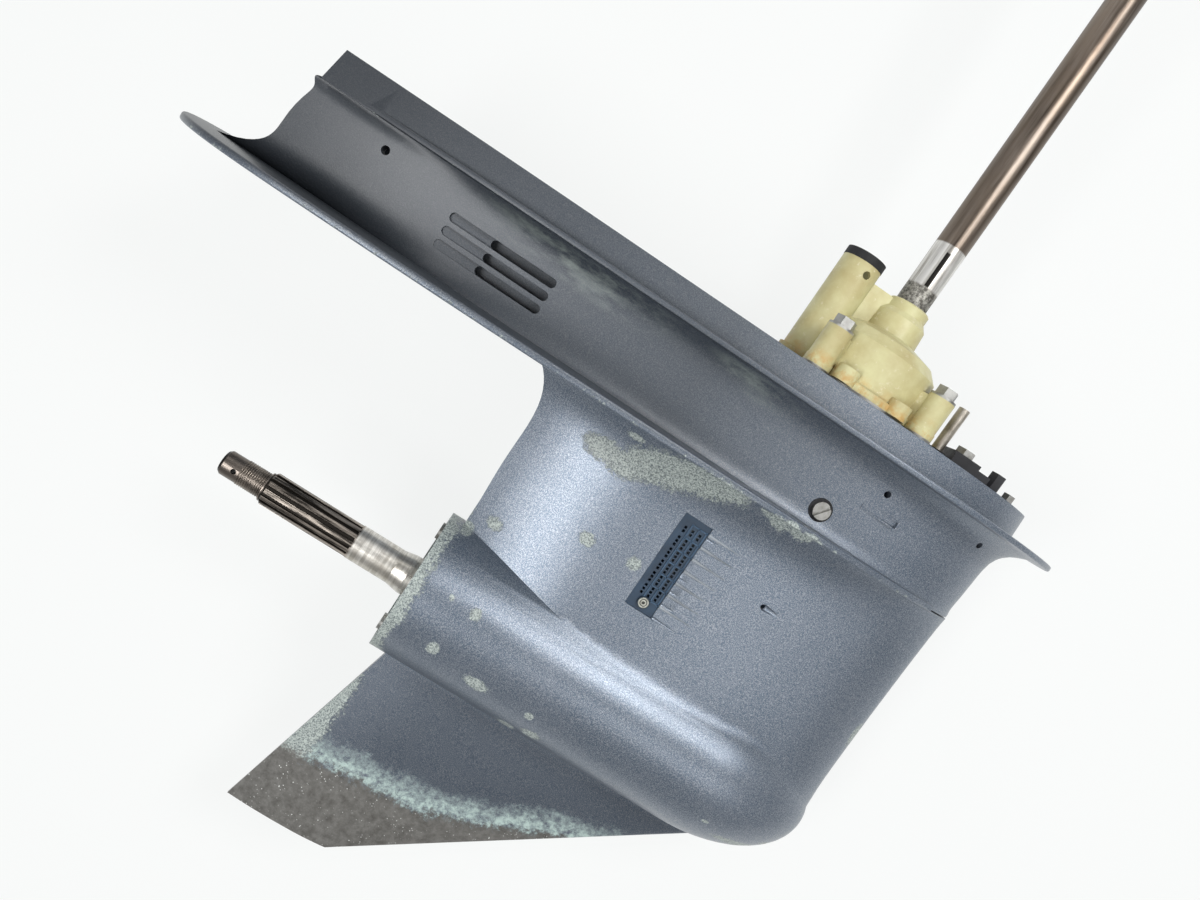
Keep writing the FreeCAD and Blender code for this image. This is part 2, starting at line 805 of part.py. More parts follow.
# Gears that face each other on the propeller shaft, and the pinion that hangs between them.
def gearTrain(drop):
    mesh = 180.0 / size("gearTeeth")
    forward = ringGear(-mesh)
    turn = FreeCAD.Rotation(X_AXIS, mesh).multiply(FreeCAD.Rotation(Y_AXIS, 90))
    forward.Placement = FreeCAD.Placement(V(0, 0, -drop), turn)
    reverse = ringGear(0.0)
    reverse.Placement = FreeCAD.Placement(V(0, 0, -drop), FreeCAD.Rotation(Y_AXIS, -90))
    pinion = pinionGear()
    pinion.Placement = moved(z=-drop)
    for label, shape in (("forward_gear", forward), ("reverse_gear", reverse), ("pinion_gear", pinion)):
        keep(label, shaped(label, Part.makeCompound([shape]).Solids[0]))


def clutchDog(drop):
    half = size("dogHalf")
    body = Part.makeCylinder(size("dogRadius"), 2 * half, V(0, 0, -half))
    reach = size("lugFace") - size("lugHigh") - 1.0
    lugs = dogLugs(size("lugInner"), size("lugOuter"), half - 1.0, reach, 180.0 / size("lugCount"))
    lugs += dogLugs(size("lugInner"), size("lugOuter"), -reach, 1.0 - half, 180.0 / size("lugCount"))
    body = body.fuse(lugs)
    bore = Part.makeCylinder(size("frontRadius") + size("fit"), 4 * half, V(0, 0, -2 * half))
    pin = rod(3.0 + size("seat"), V(-40, 0, 0), V(40, 0, 0))
    groove = Part.makeCylinder(30, 3.0, V(0, 0, -1.5)).cut(Part.makeCylinder(size("dogRadius") - 1.6, 3.0, V(0, 0, -1.5)))
    body = body.cut([bore, pin, groove])
    body.Placement = FreeCAD.Placement(V(0, 0, -drop), FreeCAD.Rotation(Y_AXIS, 90))
    keep("clutch_dog", shaped("clutch_dog", body.Solids[0]))


# The propeller shaft is turned, then given its spline, thread hole, slider bore and pin slot.
def propellerShaft(drop):
    profile = [
        (-size("shaftEnd"), 0.0),
        (-size("shaftEnd"), size("threadRadius") - 1.5),
        (-size("shaftEnd") + 2.0, size("threadRadius")),
        (-size("splineStart"), size("threadRadius")),
        (-size("splineStart"), size("splineRoot")),
        (-size("splineEnd"), size("splineRoot")),
        (-size("splineEnd"), size("journalRadius")),
        (-size("journalEnd"), size("journalRadius")),
        (-size("flareEnd"), size("shaftRadius")),
        (-size("shaftStep"), size("shaftRadius")),
        (-size("shaftStep"), size("frontRadius")),
        (size("shaftFront") - 1.0, size("frontRadius")),
        (size("shaftFront"), size("frontRadius") - 1.0),
        (size("shaftFront"), 0.0),
    ]
    wire = Part.makePolygon([V(along, 0, out) for along, out in profile + profile[:1]])
    shaft = Part.Face(wire).revolve(V(0, 0, 0), X_AXIS, 360)
    count = int(size("splineTeeth"))
    teeth = []
    for index in range(count):
        tooth = Part.makeBox(size("splineStart") - size("splineEnd"), 3.2, size("splineRadius"), V(-size("splineStart"), -1.6, 0))
        tooth.rotate(V(0, 0, 0), X_AXIS, index * 360.0 / count)
        teeth.append(tooth)
    crest = rod(size("splineRadius"), V(-size("splineStart"), 0, 0), V(-size("splineEnd"), 0, 0))
    relief = Part.makeCone(size("threadRadius"), size("splineRadius") + 4.0, 6.0, V(-size("splineStart"), 0, 0), X_AXIS)
    crest = crest.common(relief.fuse(rod(size("splineRadius") + 4.0, V(-size("splineStart") + 6.0, 0, 0), V(-size("splineEnd"), 0, 0))))
    shaft = shaft.fuse([tooth.common(crest) for tooth in teeth])
    travel = size("shiftTravel")
    slot = Part.makeBox(2 * (travel + 3.4), 6.4, 60.0, V(-travel - 3.4, -3.2, -30.0))
    bore = rod(size("sliderRadius") + size("seat"), V(-travel - 9.0, 0, 0), V(size("shaftFront") + 1.0, 0, 0))
    cotter = rod(2.0, V(-size("shaftEnd") + 11.0, -20, 0), V(-size("shaftEnd") + 11.0, 20, 0))
    shaft = shaft.cut([slot, bore, cotter])
    keep("propeller_shaft", shaped("propeller_shaft", shaft.Solids[0], -drop))


def driveShaft(drop):
    low = "22.4 - gearDrop"
    nutTop = "27.0 - gearDrop"
    shaft = turned("drive_shaft_turned", [
        (low, "0"),
        (low, "driveLower - 2.5"),
        (nutTop, "driveLower - 2.5"),
        (nutTop, "driveLower"),
        ("needleLow - 6 - gearDrop", "driveLower"),
        ("needleLow - 2 - gearDrop", "driveRadius"),
        ("driveTop - driveEnd", "driveRadius"),
        ("driveTop - driveEnd", "driveEndRadius"),
        ("driveTop - 1", "driveEndRadius"),
        ("driveTop", "driveEndRadius - 1"),
        ("driveTop", "0"),
    ])
    key = box("drive_shaft_key_cut", "10", "4.2", "14", ("driveRadius - 2.6", "-2.1", "9"))
    keep("drive_shaft", without("drive_shaft", shaft, [key]))


def pumpPieces():
    base = size("pumpPlate") + size("pumpGasket")
    keep("pump_gasket", pumpPlan("pump_gasket", 0.0, size("pumpGasket")))
    keep("pump_base_plate", pumpPlan("pump_base_plate", size("pumpGasket"), size("pumpPlate")))
    keep("pump_housing", shaped("pump_housing", pumpHousing(base)))
    liner = Part.makeCylinder(size("linerRadius"), size("impellerHigh") + 3.0, V(0, 0, base))
    room = Part.makeCylinder(size("linerRadius") - size("linerThick"), size("impellerHigh") + 1.5, V(0, 0, base))
    hole = Part.makeCylinder(size("driveRadius") + 2.0, 60.0, V(0, 0, 0))
    port = Part.makeBox(size("tubePlace"), 8.0, 9.0, V(-size("tubePlace"), -4.0, base + size("tubeFloor")))
    keep("pump_liner", shaped("pump_liner", liner.cut([room, hole, port])))
    keep("pump_impeller", shaped("pump_impeller", impeller(base + 0.8)))
    key = Part.makeBox(3.6, 3.9, 12.0, V(size("driveRadius") - 2.4, -1.95, 10.0))
    keep("impeller_key", shaped("impeller_key", key))
    seal = ring("pump_shaft_seal", "driveRadius + fit", "driveRadius + 3.4", "hubHigh - 9", "hubHigh - 1")
    keep("pump_shaft_seal", seal)
    grommet = ring("water_tube_grommet", "tubeBore", "tubeRadius + 0.2", "tubeHigh", "tubeHigh + grommetHigh", "Z", ("-tubePlace", "0", "0"))
    keep("water_tube_grommet", grommet)
    washer = turned("pump_screw_model", [
        ("-14", "0"), ("-14", "screwRadius - 0.1"), ("bossHigh", "screwRadius - 0.1"),
        ("bossHigh", "9.2"), ("bossHigh + 1.6", "9.2"), ("bossHigh + 1.6", "0"),
    ])
    head = hexagon("pump_screw_head", "13", "6.4", ("0", "0", "bossHigh + 1.5"))
    screw = fused("pump_screw_whole", [washer, head])
    keep("pump_screws", copies("pump_screws", screw, [moved(x, y) for x, y in screwPlaces()]))


# The plan of the pump's foot: a disc, four screw ears, the tube's foot and two small bosses a side.
def pumpFoot(low, high):
    discs = [(0.0, 0.0, size("pumpRadius") + 4.0), (-size("tubePlace"), 0.0, size("tubeRadius") + 2.5)]
    discs += [(x, y, size("bossRadius") + 0.6) for x, y in screwPlaces()]
    made = [Part.makeCylinder(radius, high - low, V(x, y, low)) for x, y, radius in discs]
    return made[0].multiFuse(made[1:])


def pumpPlan(label, low, thick):
    slab = pumpFoot(low, low + thick)
    holes = [Part.makeCylinder(size("driveRadius") + 1.5, thick, V(0, 0, low))]
    holes += [Part.makeCylinder(size("screwRadius"), thick, V(x, y, low)) for x, y in screwPlaces()]
    holes.append(Part.makeBox(5.0, 16.0, thick, V(-size("inletPlace"), -8.0, low)))
    return shaped(label, slab.cut(holes).removeSplitter())


def pumpHousing(base):
    top = size("pumpTop")
    profile = [
        (0.0, base),
        (size("pumpRadius"), base),
        (size("pumpRadius"), size("pumpShoulder")),
        (size("pumpRadius") - 7.0, top + 2.0),
        (size("hubRadius") + 1.0, top + 8.0),
        (size("hubRadius"), size("hubHigh") - 4.0),
        (size("hubRadius") - 3.0, size("hubHigh")),
        (size("collarRadius"), size("hubHigh")),
        (size("collarRadius"), size("collarHigh") - 1.0),
        (size("collarRadius") - 1.0, size("collarHigh")),
        (0.0, size("collarHigh")),
    ]
    wire = Part.makePolygon([V(out, 0, along) for out, along in profile + profile[:1]])
    drum = Part.Face(wire).revolve(V(0, 0, 0), Z_AXIS, 360)
    parts = [pumpFoot(base, base + 5.0)]
    parts.append(Part.makeCylinder(size("tubeRadius"), size("tubeHigh") - base, V(-size("tubePlace"), 0, base)))
    for x, y in screwPlaces():
        parts.append(Part.makeCylinder(size("bossRadius"), size("bossHigh") - base, V(x, y, base)))
        web = Part.makeBox(math.hypot(x, y), 11.0, size("bossHigh") - base - 2.0, V(0, -5.5, base))
        web.rotate(V(0, 0, 0), Z_AXIS, math.degrees(math.atan2(y, x)))
        parts.append(web)
    parts.append(Part.makeBox(size("tubePlace") - 6.0, 9.0, size("collarHigh") - 2.0 - base, V(-size("tubePlace") + 4.0, -4.5, base)))
    for x in (-22.0, 20.0):
        for side in (-1, 1):
            parts.append(Part.makeCylinder(8.0, 10.5, V(x, side * 44.0, base)))
    solid = drum.multiFuse(parts)
    cuts = [
        Part.makeCylinder(size("linerRadius") + size("fit"), size("impellerHigh") + 3.0, V(0, 0, base)),
        Part.makeCylinder(size("driveRadius") + 1.0, 200.0, V(0, 0, 0)),
        Part.makeCylinder(size("driveRadius") + 3.4 + size("fit"), 8.0, V(0, 0, size("hubHigh") - 9.0)),
        Part.makeCylinder(size("tubeBore"), 200.0, V(-size("tubePlace"), 0, base + size("tubeFloor"))),
        Part.makeBox(size("tubePlace"), 8.0, 9.0, V(-size("tubePlace"), -4.0, base + size("tubeFloor"))),
        rod(2.8, V(-size("tubePlace") + 3.7, -30.0, size("tubeHigh") - 7.3), V(-size("tubePlace") + 3.7, -1.0, size("tubeHigh") - 7.3)),
    ]
    cuts += [Part.makeCylinder(size("screwRadius"), 100.0, V(x, y, 0)) for x, y in screwPlaces()]
    return solid.cut(cuts).removeSplitter()


# A rubber impeller: a hub with a key slot and six vanes.
def impeller(low):
    high = size("impellerHigh")
    hub = Part.makeCylinder(size("impellerHub"), high, V(0, 0, low))
    parts = []
    for index in range(6):
        vane = Part.makeBox(size("linerRadius") - size("linerThick") - 0.6, 3.2, high, V(0, -1.6, low))
        vane.rotate(V(0, 0, 0), Z_AXIS, index * 60.0)
        bead = Part.makeCylinder(2.4, high, V(size("linerRadius") - size("linerThick") - 3.2, 0, low))
        bead.rotate(V(0, 0, 0), Z_AXIS, index * 60.0)
        parts += [vane, bead]
    bore = Part.makeCylinder(size("driveRadius") + size("fit"), high, V(0, 0, low))
    slot = Part.makeBox(5.0, 4.2, high, V(size("driveRadius") - 2.0, -2.1, low))
    return hub.multiFuse(parts).cut([bore, slot]).removeSplitter()


def bearings(drop):
    axis = ("0", "0", "-gearDrop")
    keep("forward_bearing_cup", ring("forward_bearing_cup", "gearHubRadius + 2 * rollerRadius + 3 * seat", "bearingRadius", "gearBack + 2", "bearingFront - seat", "X", axis))
    keep("reverse_bearing_cup", ring("reverse_bearing_cup", "gearHubRadius + 2 * rollerRadius + 3 * seat", "bearingRadius", "-bearingFront + seat", "-gearBack - 2", "X", axis))
    for label, middle in (("forward_bearing_rollers", 1), ("reverse_bearing_rollers", -1)):
        keep(label, rollers(label, middle, drop))
    keep("carrier_needle_bearing", ring("carrier_needle_bearing", "shaftRadius + fit", "shaftRadius + 4", "40 - bulletRear", "66 - bulletRear", "X", axis))
    keep("propeller_shaft_seals", ring("propeller_shaft_seals", "shaftRadius + fit", "shaftRadius + 7", "8 - bulletRear", "22 - bulletRear", "X", axis))
    keep("pinion_needle_bearing", ring("pinion_needle_bearing", "driveRadius + fit", "needleRadius", "needleLow", "needleHigh", "Z", axis))
    keep("drive_shaft_bearing", ring("drive_shaft_bearing", "driveRadius + fit", "driveBearingRadius", "-driveBearingLow", "-driveBearingHigh"))
    keep("drive_shaft_seals", ring("drive_shaft_seals", "driveRadius + fit", "driveBearingRadius", "seat - driveBearingHigh", "-seat"))
    keep("pinion_nut", without("pinion_nut", hexagon("pinion_nut_hex", "2 * driveLower", "4.2", ("0", "0", "22.6 - gearDrop")), [cylinder("pinion_nut_hole", "driveLower - 2.45", "20", ("0", "0", "15 - gearDrop"))]))


def rollers(label, side, drop):
    low = size("gearBack") + 3.0
    long = size("bearingFront") - size("gearBack") - 5.0
    out = size("gearHubRadius") + size("rollerRadius") + 1.5 * size("seat")
    made = []
    count = int(size("rollerCount"))
    for index in range(count):
        turn = 2.0 * math.pi * index / count
        start = V(side * low, out * math.cos(turn), out * math.sin(turn) - drop)
        made.append(rod(size("rollerRadius"), start, start + V(side * long, 0, 0)))
    return shaped(label, Part.makeCompound(made))


def bearingCarrier(drop):
    fit = size("fit")
    seatRear = -size("carrierSeatRear")
    seatFront = -size("carrierSeatFront")
    ringRear = carrierRear()
    ringFront = ringRear + size("carrierRing")
    hub = size("carrierHub")
    profile = [
        (ringRear, size("shaftRadius") + 2.0),
        (ringRear, hub),
        (seatRear, hub),
        (seatRear, size("gearBore")),
        (seatFront + 18.0, size("gearBore")),
        (seatFront + 18.0, size("bearingRadius") + fit),
        (seatFront + 4.0, size("bearingRadius") + fit),
        (seatFront + 4.0, hub - 8.0),
        (seatFront, hub - 8.0),
        (seatFront, size("shaftRadius") + 2.0),
    ]
    wire = Part.makePolygon([V(along, 0, out) for along, out in profile + profile[:1]])
    body = Part.Face(wire).revolve(V(0, 0, 0), X_AXIS, 360)
    outer = size("rearBore") - size("seat")
    band = rod(outer, V(ringRear, 0, 0), V(ringFront, 0, 0)).cut(rod(outer - 6.0, V(ringRear, 0, 0), V(ringFront, 0, 0)))
    spokes = [band]
    for index in range(4):
        spoke = Part.makeBox(size("carrierRing"), 9.0 if index % 2 else 20.0, outer - hub, V(ringRear, -4.5 if index % 2 else -10.0, hub - 1.0))
        spoke.rotate(V(0, 0, 0), X_AXIS, index * 90.0)
        spokes.append(spoke)
    body = body.fuse(spokes)
    groove = rod(size("gearBore") + 1.0, V(seatRear + 6.0, 0, 0), V(seatRear + 10.0, 0, 0)).cut(rod(size("gearBore") - 3.0, V(seatRear + 6.0, 0, 0), V(seatRear + 10.0, 0, 0)))
    cuts = [
        groove,
        rod(size("shaftRadius") + 7.0 + fit, V(ringRear + 2.0, 0, 0), V(ringRear + 19.1, 0, 0)),
        rod(size("shaftRadius") + 4.0 + fit, V(ringRear + 36.9, 0, 0), V(ringRear + 63.1, 0, 0)),
    ]
    for side in (-1, 1):
        spot = side * size("carrierBoltPlace")
        cuts.append(rod(4.2, V(ringRear - 1.0, 0, spot), V(ringFront + 1.0, 0, spot)))
    keep("bearing_carrier", shaped("bearing_carrier", body.cut(cuts).Solids[0], -drop))
    oring = Part.makeTorus(size("gearBore") - 1.5, 1.45, V(seatRear + 8.0, 0, -drop), X_AXIS)
    keep("carrier_o_ring", shaped("carrier_o_ring", oring))
    bolts = []
    for side in (-1, 1):
        z = side * size("carrierBoltPlace")
        head = Part.makeCylinder(6.4, 5.0, V(ringRear - 5.0, 0, z), X_AXIS)
        bolts.append(head.fuse(Part.makeCylinder(3.9, 36.0, V(ringRear - 1.0, 0, z), X_AXIS)))
    keep("carrier_bolts", shaped("carrier_bolts", Part.makeCompound(bolts), -drop))


# The shift gear: rod, bell crank, cradle and the slider that pulls the dog's cross pin.
def shiftPieces(drop):
    place = size("rodPlace")
    pivot = size("pivotPlace")
    high = size("pivotHeight")
    half = size("leverHalf")
    fit = size("fit")
    travel = size("shiftTravel")
    rodTop = size("rodTop") + drop
    stem = rod(size("rodRadius"), V(place, 0, high + 8.0), V(place, 0, rodTop))
    flat = Part.makeBox(20.0, 20.0, 24.0, V(place - 10.0, 2.0, rodTop - 24.0))
    cheeks = Part.makeBox(9.0, 2 * half + 6.6, 16.0, V(place - 4.5, -half - 3.3, high - 4.5))
    gap = Part.makeBox(12.0, 2 * half + 0.6, 12.0, V(place - 6.0, -half - 0.3, high - 5.5))
    pinLong = half + 3.3
    clevis = cheeks.cut(gap).fuse(rod(2.5, V(place, -pinLong, high), V(place, pinLong, high)))
    keep("shift_rod", shaped("shift_rod", stem.cut(flat).fuse(clevis).Solids[0], -drop))
    arm = Part.makeBox(place - pivot, 2 * half, 5.0, V(pivot, -half, high - 2.5))
    eye = rod(5.4, V(place, -half, high), V(place, half, high))
    boss = rod(6.0, V(pivot, -half, high), V(pivot, half, high))
    finger = Part.makeBox(5.0, 2 * half, high, V(pivot - 2.5, -half, 0))
    tip = rod(3.3, V(pivot, -half, 0), V(pivot, half, 0))
    lever = boss.multiFuse([arm, eye, finger, tip])
    lever = lever.cut([rod(3.4, V(place, -half, high), V(place, half, high)), rod(size("pivotRadius") + fit, V(pivot, -half, high), V(pivot, half, high))])
    keep("shift_lever", shaped("shift_lever", lever.Solids[0], -drop))
    pin = rod(size("pivotRadius"), V(pivot, -19.5, high), V(pivot, 19.5, high))
    keep("lever_pin", shaped("lever_pin", pin, -drop))
    neck = size("shaftFront") + 8.0
    radius = size("cradleRadius")
    block = rod(radius, V(neck - 3.5, 0, 0), V(pivot + 8.5, 0, 0))
    cuts = [
        rod(4.2, V(neck - 5.0, 0, 0), V(neck, 0, 0)),
        rod(7.0, V(neck - 0.5, 0, 0), V(neck + 3.4, 0, 0)),
        Part.makeBox(4.5, 30.0, 8.4, V(neck - 4.0, 0, -4.2)),
        Part.makeBox(3.9, 30.0, 14.0, V(neck - 0.5, 0, -7.0)),
        Part.makeBox(7.6, 2 * half + 0.6, 6.5, V(pivot - 3.8, -half - 0.3, -5.0)),
        Part.makeBox(10.4, 2 * half + 0.6, 12.0, V(pivot - 5.2, -half - 0.3, 1.4)),
        Part.makeBox(30.0, 30.0, 10.0, V(neck + 1.5, -15.0, high - 6.4)),
    ]
    keep("shift_cradle", shaped("shift_cradle", block.cut(cuts).Solids[0], -drop))
    slider = rod(size("sliderRadius"), V(-travel - 5.0, 0, 0), V(size("shaftFront") - 1.0, 0, 0))
    slider = slider.fuse([rod(3.5, V(size("shaftFront") - 2.0, 0, 0), V(neck + 0.2, 0, 0)), rod(6.5, V(neck, 0, 0), V(neck + 3.0, 0, 0))])
    slider = slider.cut(rod(3.0 + fit, V(0, 0, -20), V(0, 0, 20)))
    keep("clutch_slider", shaped("clutch_slider", slider.Solids[0], -drop))
    reach = size("dogRadius") - 1.8
    keep("clutch_pin", shaped("clutch_pin", rod(3.0, V(0, 0, -reach), V(0, 0, reach)), -drop))
    spring = Part.makeTorus(size("dogRadius") - 0.7, 0.7, V(0, 0, -drop), X_AXIS)
    keep("clutch_pin_spring", shaped("clutch_pin_spring", spring))


def deckFittings():
    bushing = ring("shift_rod_bushing", "rodRadius + fit", "rodRadius + 3.3", "0", "5", "Z", ("rodPlace", "0", "0"))
    keep("shift_rod_bushing", bushing)
    slab = box("shift_cover_slab", "coverFront - rodPlace - 8", "26", "8", ("rodPlace + 8", "-13", "0"))
    step = box("shift_cover_step", "22", "22", "4.5", ("rodPlace + 8", "-11", "7"))
    hole = cylinder("shift_cover_hole", "3.1", "40", ("coverBolt", "0", "-10"))
    keep("shift_cover", without("shift_cover", fused("shift_cover_body", [slab, step]), [hole]))
    bolt = hexagon("cover_bolt_hex", "12.6", "5", ("coverBolt", "0", "11.5"))
    stem = cylinder("cover_bolt_stem", "2.9", "24", ("coverBolt", "0", "-12"))
    keep("shift_cover_bolt", fused("shift_cover_bolt", [bolt, stem]))
    plug = hexagon("deck_plug_hex", "10.6", "15", ("fittingPlace", "0", "0"))
    plugStem = cylinder("deck_plug_stem", "2.9", "13", ("fittingPlace", "0", "-12"))
    keep("deck_plug", fused("deck_plug", [plug, plugStem]))
    head = hexagon("deck_bolt_hex", "8.2", "7.5", ("studPlace", "0", "0"))
    headStem = cylinder("deck_bolt_stem", "2.9", "13", ("studPlace", "0", "-12"))
    keep("deck_bolt", fused("deck_bolt", [head, headStem]))


def plugs(drop):
    y = -oilFace()
    x = size("oilPlace")
    z = oilLevel()
    for label, spot, height, out, side in (("oil_level_plug", x, z, -y, -1), ("oil_drain_plug", size("drainPlace"), 0.0, drainDistance(), 1)):
        inner = side * (out - 0.6 if side < 0 else out)
        head = rod(6.2, V(spot, inner + side * 1.2, height), V(spot, inner + side * 4.2, height))
        stem = rod(size("oilRadius") - 0.1, V(spot, inner - side * 7.0, height), V(spot, inner + side * 1.5, height))
        slot = Part.makeBox(20.0, 4.0, 2.2, V(spot - 10.0, inner + side * 4.3 - 2.0, height - 1.1))
        slot.rotate(V(spot, 0, height), Y_AXIS, -52.0)
        keep(label, shaped(label, head.fuse(stem).cut(slot).Solids[0], -drop))
        seal = rod(8.2, V(spot, inner, height), V(spot, inner + side * 1.1, height)).cut(rod(size("oilRadius"), V(spot, inner - side, height), V(spot, inner + side * 5, height)))
        keep(label.replace("plug", "seal"), shaped(label.replace("plug", "seal"), seal, -drop))


# A moulded intake screen: blocks of square holes and an ear for its screw.
def intakeScreen(side):
    gap = size("seat")
    near = -size("screenNear") - gap
    far = -size("screenFar") + gap
    low = size("screenLow") + gap
    high = size("screenHigh") - gap
    outer = size("strutHalf") - size("screenSunk")
    start = min(side * outer, side * (outer - size("screenThick")))
    plate = Part.makeBox(near - far, size("screenThick"), high - low, V(far, start, low))
    cuts = [rod(2.6, V(screenScrew()[0], side * 10.0, screenScrew()[1]), V(screenScrew()[0], side * 60.0, screenScrew()[1]))]
    hole = size("screenHole")
    for column in range(3):
        for block in range(6):
            for row in range(3 if block else 2):
                x = far + 4.6 + column * 5.8
                z = high - 6.0 - block * 10.1 - row * 3.0 + (0.0 if block else -2.0)
                cuts.append(Part.makeBox(hole, 20.0, hole, V(x, start - 5.0, z - hole)))
    return plate.cut(cuts)


def screenScrew():
    return (-0.5 * (size("screenNear") + size("screenFar")), size("screenLow") + 6.8)


def screens(drop):
    x, z = screenScrew()
    outer = size("strutHalf") - size("screenSunk")
    for label, side in (("intake_screen_starboard", -1), ("intake_screen_port", 1)):
        keep(label, shaped(label, intakeScreen(side), -drop))
    heads = []
    for side in (-1, 1):
        head = rod(4.4, V(x, side * outer, z), V(x, side * (outer + 1.8), z))
        heads.append(head)
    stem = rod(2.5, V(x, -outer - 1.0, z), V(x, outer + 1.0, z))
    keep("screen_screw", shaped("screen_screw", stem.multiFuse(heads), -drop))


drop = size("gearDrop")
keep("gearcase_housing", shaped("gearcase_housing", gearcaseHousing(), -drop))
screens(drop)
plugs(drop)
gearTrain(drop)
propellerShaft(drop)
clutchDog(drop)
shiftPieces(drop)
driveShaft(drop)
pumpPieces()
bearings(drop)
bearingCarrier(drop)
deckFittings()
doc.recompute()

for item in doc.Objects:
    if "Invalid" in item.State or "Error" in item.State:
        raise RuntimeError("failed object " + item.Label)
for label, item in nodes.items():
    if item.Shape.isNull() or not item.Shape.isValid():
        raise RuntimeError("bad shape " + label)

os.makedirs("parts", exist_ok=True)
for label, item in nodes.items():
    item.Shape.exportStep(os.path.join("parts", label + ".step"))
    print(label, len(item.Shape.Solids), "solids", round(item.Shape.Volume, 1), "mm3")
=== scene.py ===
import bpy
import bmesh
import json
import math
from mathutils import Matrix, Vector


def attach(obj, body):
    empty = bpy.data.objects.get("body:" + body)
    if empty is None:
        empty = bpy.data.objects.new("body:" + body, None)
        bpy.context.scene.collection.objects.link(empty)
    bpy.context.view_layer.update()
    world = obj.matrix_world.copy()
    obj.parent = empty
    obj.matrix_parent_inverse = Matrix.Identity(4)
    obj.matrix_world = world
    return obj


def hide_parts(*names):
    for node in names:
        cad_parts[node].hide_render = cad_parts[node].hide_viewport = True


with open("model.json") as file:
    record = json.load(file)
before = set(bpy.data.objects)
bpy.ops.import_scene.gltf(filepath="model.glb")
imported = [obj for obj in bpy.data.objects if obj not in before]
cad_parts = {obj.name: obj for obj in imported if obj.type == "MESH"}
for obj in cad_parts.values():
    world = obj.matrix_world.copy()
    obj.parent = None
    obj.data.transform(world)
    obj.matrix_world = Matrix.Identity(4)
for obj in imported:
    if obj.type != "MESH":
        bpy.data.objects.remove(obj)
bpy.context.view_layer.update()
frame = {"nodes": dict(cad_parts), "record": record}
scene = bpy.context.scene
scene.view_settings.view_transform = "Standard"
nodes = frame["nodes"]
axisDrop = 0.279  # the propeller shaft's axis lies this far below the deck


# Camera, lamps and the pale table that the unit lies over. Lengths are in metres, colours are linear.

cameraSizes = {
    "right": (0.83257, -0.02432, 0.55338),
    "up": (-0.54328, 0.15893, 0.82437),
    "back": (-0.10800, -0.98699, 0.11910),
    "place": (-0.19298, -0.62913, -0.05165),
    "lens": 27.03,
    "sensor": 36.0,
    "nearest": 0.01,
}
lampSizes = {  # away is right, up and back from the lamps' target
    "left": {"away": (-0.72, -0.12, 1.45), "size": (0.45, 0.8), "power": 16.0},
    "right": {"away": (0.98, 0.30, 1.35), "size": (0.45, 0.55), "power": 17.0},
    "low": {"away": (0.45, -0.85, 1.40), "size": (0.8, 0.6), "power": 4.5},
    "top": {"away": (0.1, 1.5, 0.7), "size": (1.6, 0.6), "power": 5.0},
}
lampTarget = (-0.10, 0.0, -0.16)
tableSizes = {
    "middle": (-0.12, 0.0, -0.16),
    "behind": 0.125,
    "reach": 3,
    "colour": (0.925, 0.938, 0.931, 1.0),
    "shaded": 0.12,  # share of the colour that takes light and shadow
    "rough": 0.9,
    "specular": 0.1,
}
roomSizes = {"facing": (0.0, 0.95), "strength": (0.52, 0.235)}  # dimmer on the camera's side


def addCamera():
    right, up, back = (Vector(cameraSizes[name]) for name in ("right", "up", "back"))
    data = bpy.data.cameras.new("camera")
    data.lens = cameraSizes["lens"]
    data.sensor_width = cameraSizes["sensor"]
    data.clip_start = cameraSizes["nearest"]
    camera = bpy.data.objects.new("camera", data)
    turn = Matrix((right, up, back)).transposed().to_4x4()
    camera.matrix_world = Matrix.Translation(cameraSizes["place"]) @ turn
    scene.collection.objects.link(camera)
    scene.camera = camera
    return right, up, back


def addLamps(right, up, back):
    middle = Vector(lampTarget)
    for name, row in lampSizes.items():
        data = bpy.data.lights.new(name, "AREA")
        data.shape = "RECTANGLE"
        data.size, data.size_y = row["size"]
        data.energy = row["power"]
        lamp = bpy.data.objects.new(name, data)
        x, y, z = row["away"]
        spot = middle + right * x + up * y + back * z
        turn = (spot - middle).to_track_quat("Z", "Y").to_matrix().to_4x4()
        lamp.matrix_world = Matrix.Translation(spot) @ turn
        scene.collection.objects.link(lamp)


def mixShaders(tree, share, first, second):
    mix = tree.nodes.new("ShaderNodeMixShader")
    if isinstance(share, float):
        mix.inputs["Fac"].default_value = share
    else:
        tree.links.new(share, mix.inputs["Fac"])
    tree.links.new(first, mix.inputs[1])
    tree.links.new(second, mix.inputs[2])
    return mix.outputs[0]


def eitherRay(tree, path, first, second):
    either = tree.nodes.new("ShaderNodeMath")
    either.operation = "MAXIMUM"
    tree.links.new(path.outputs[first], either.inputs[0])
    tree.links.new(path.outputs[second], either.inputs[1])
    return either.outputs[0]


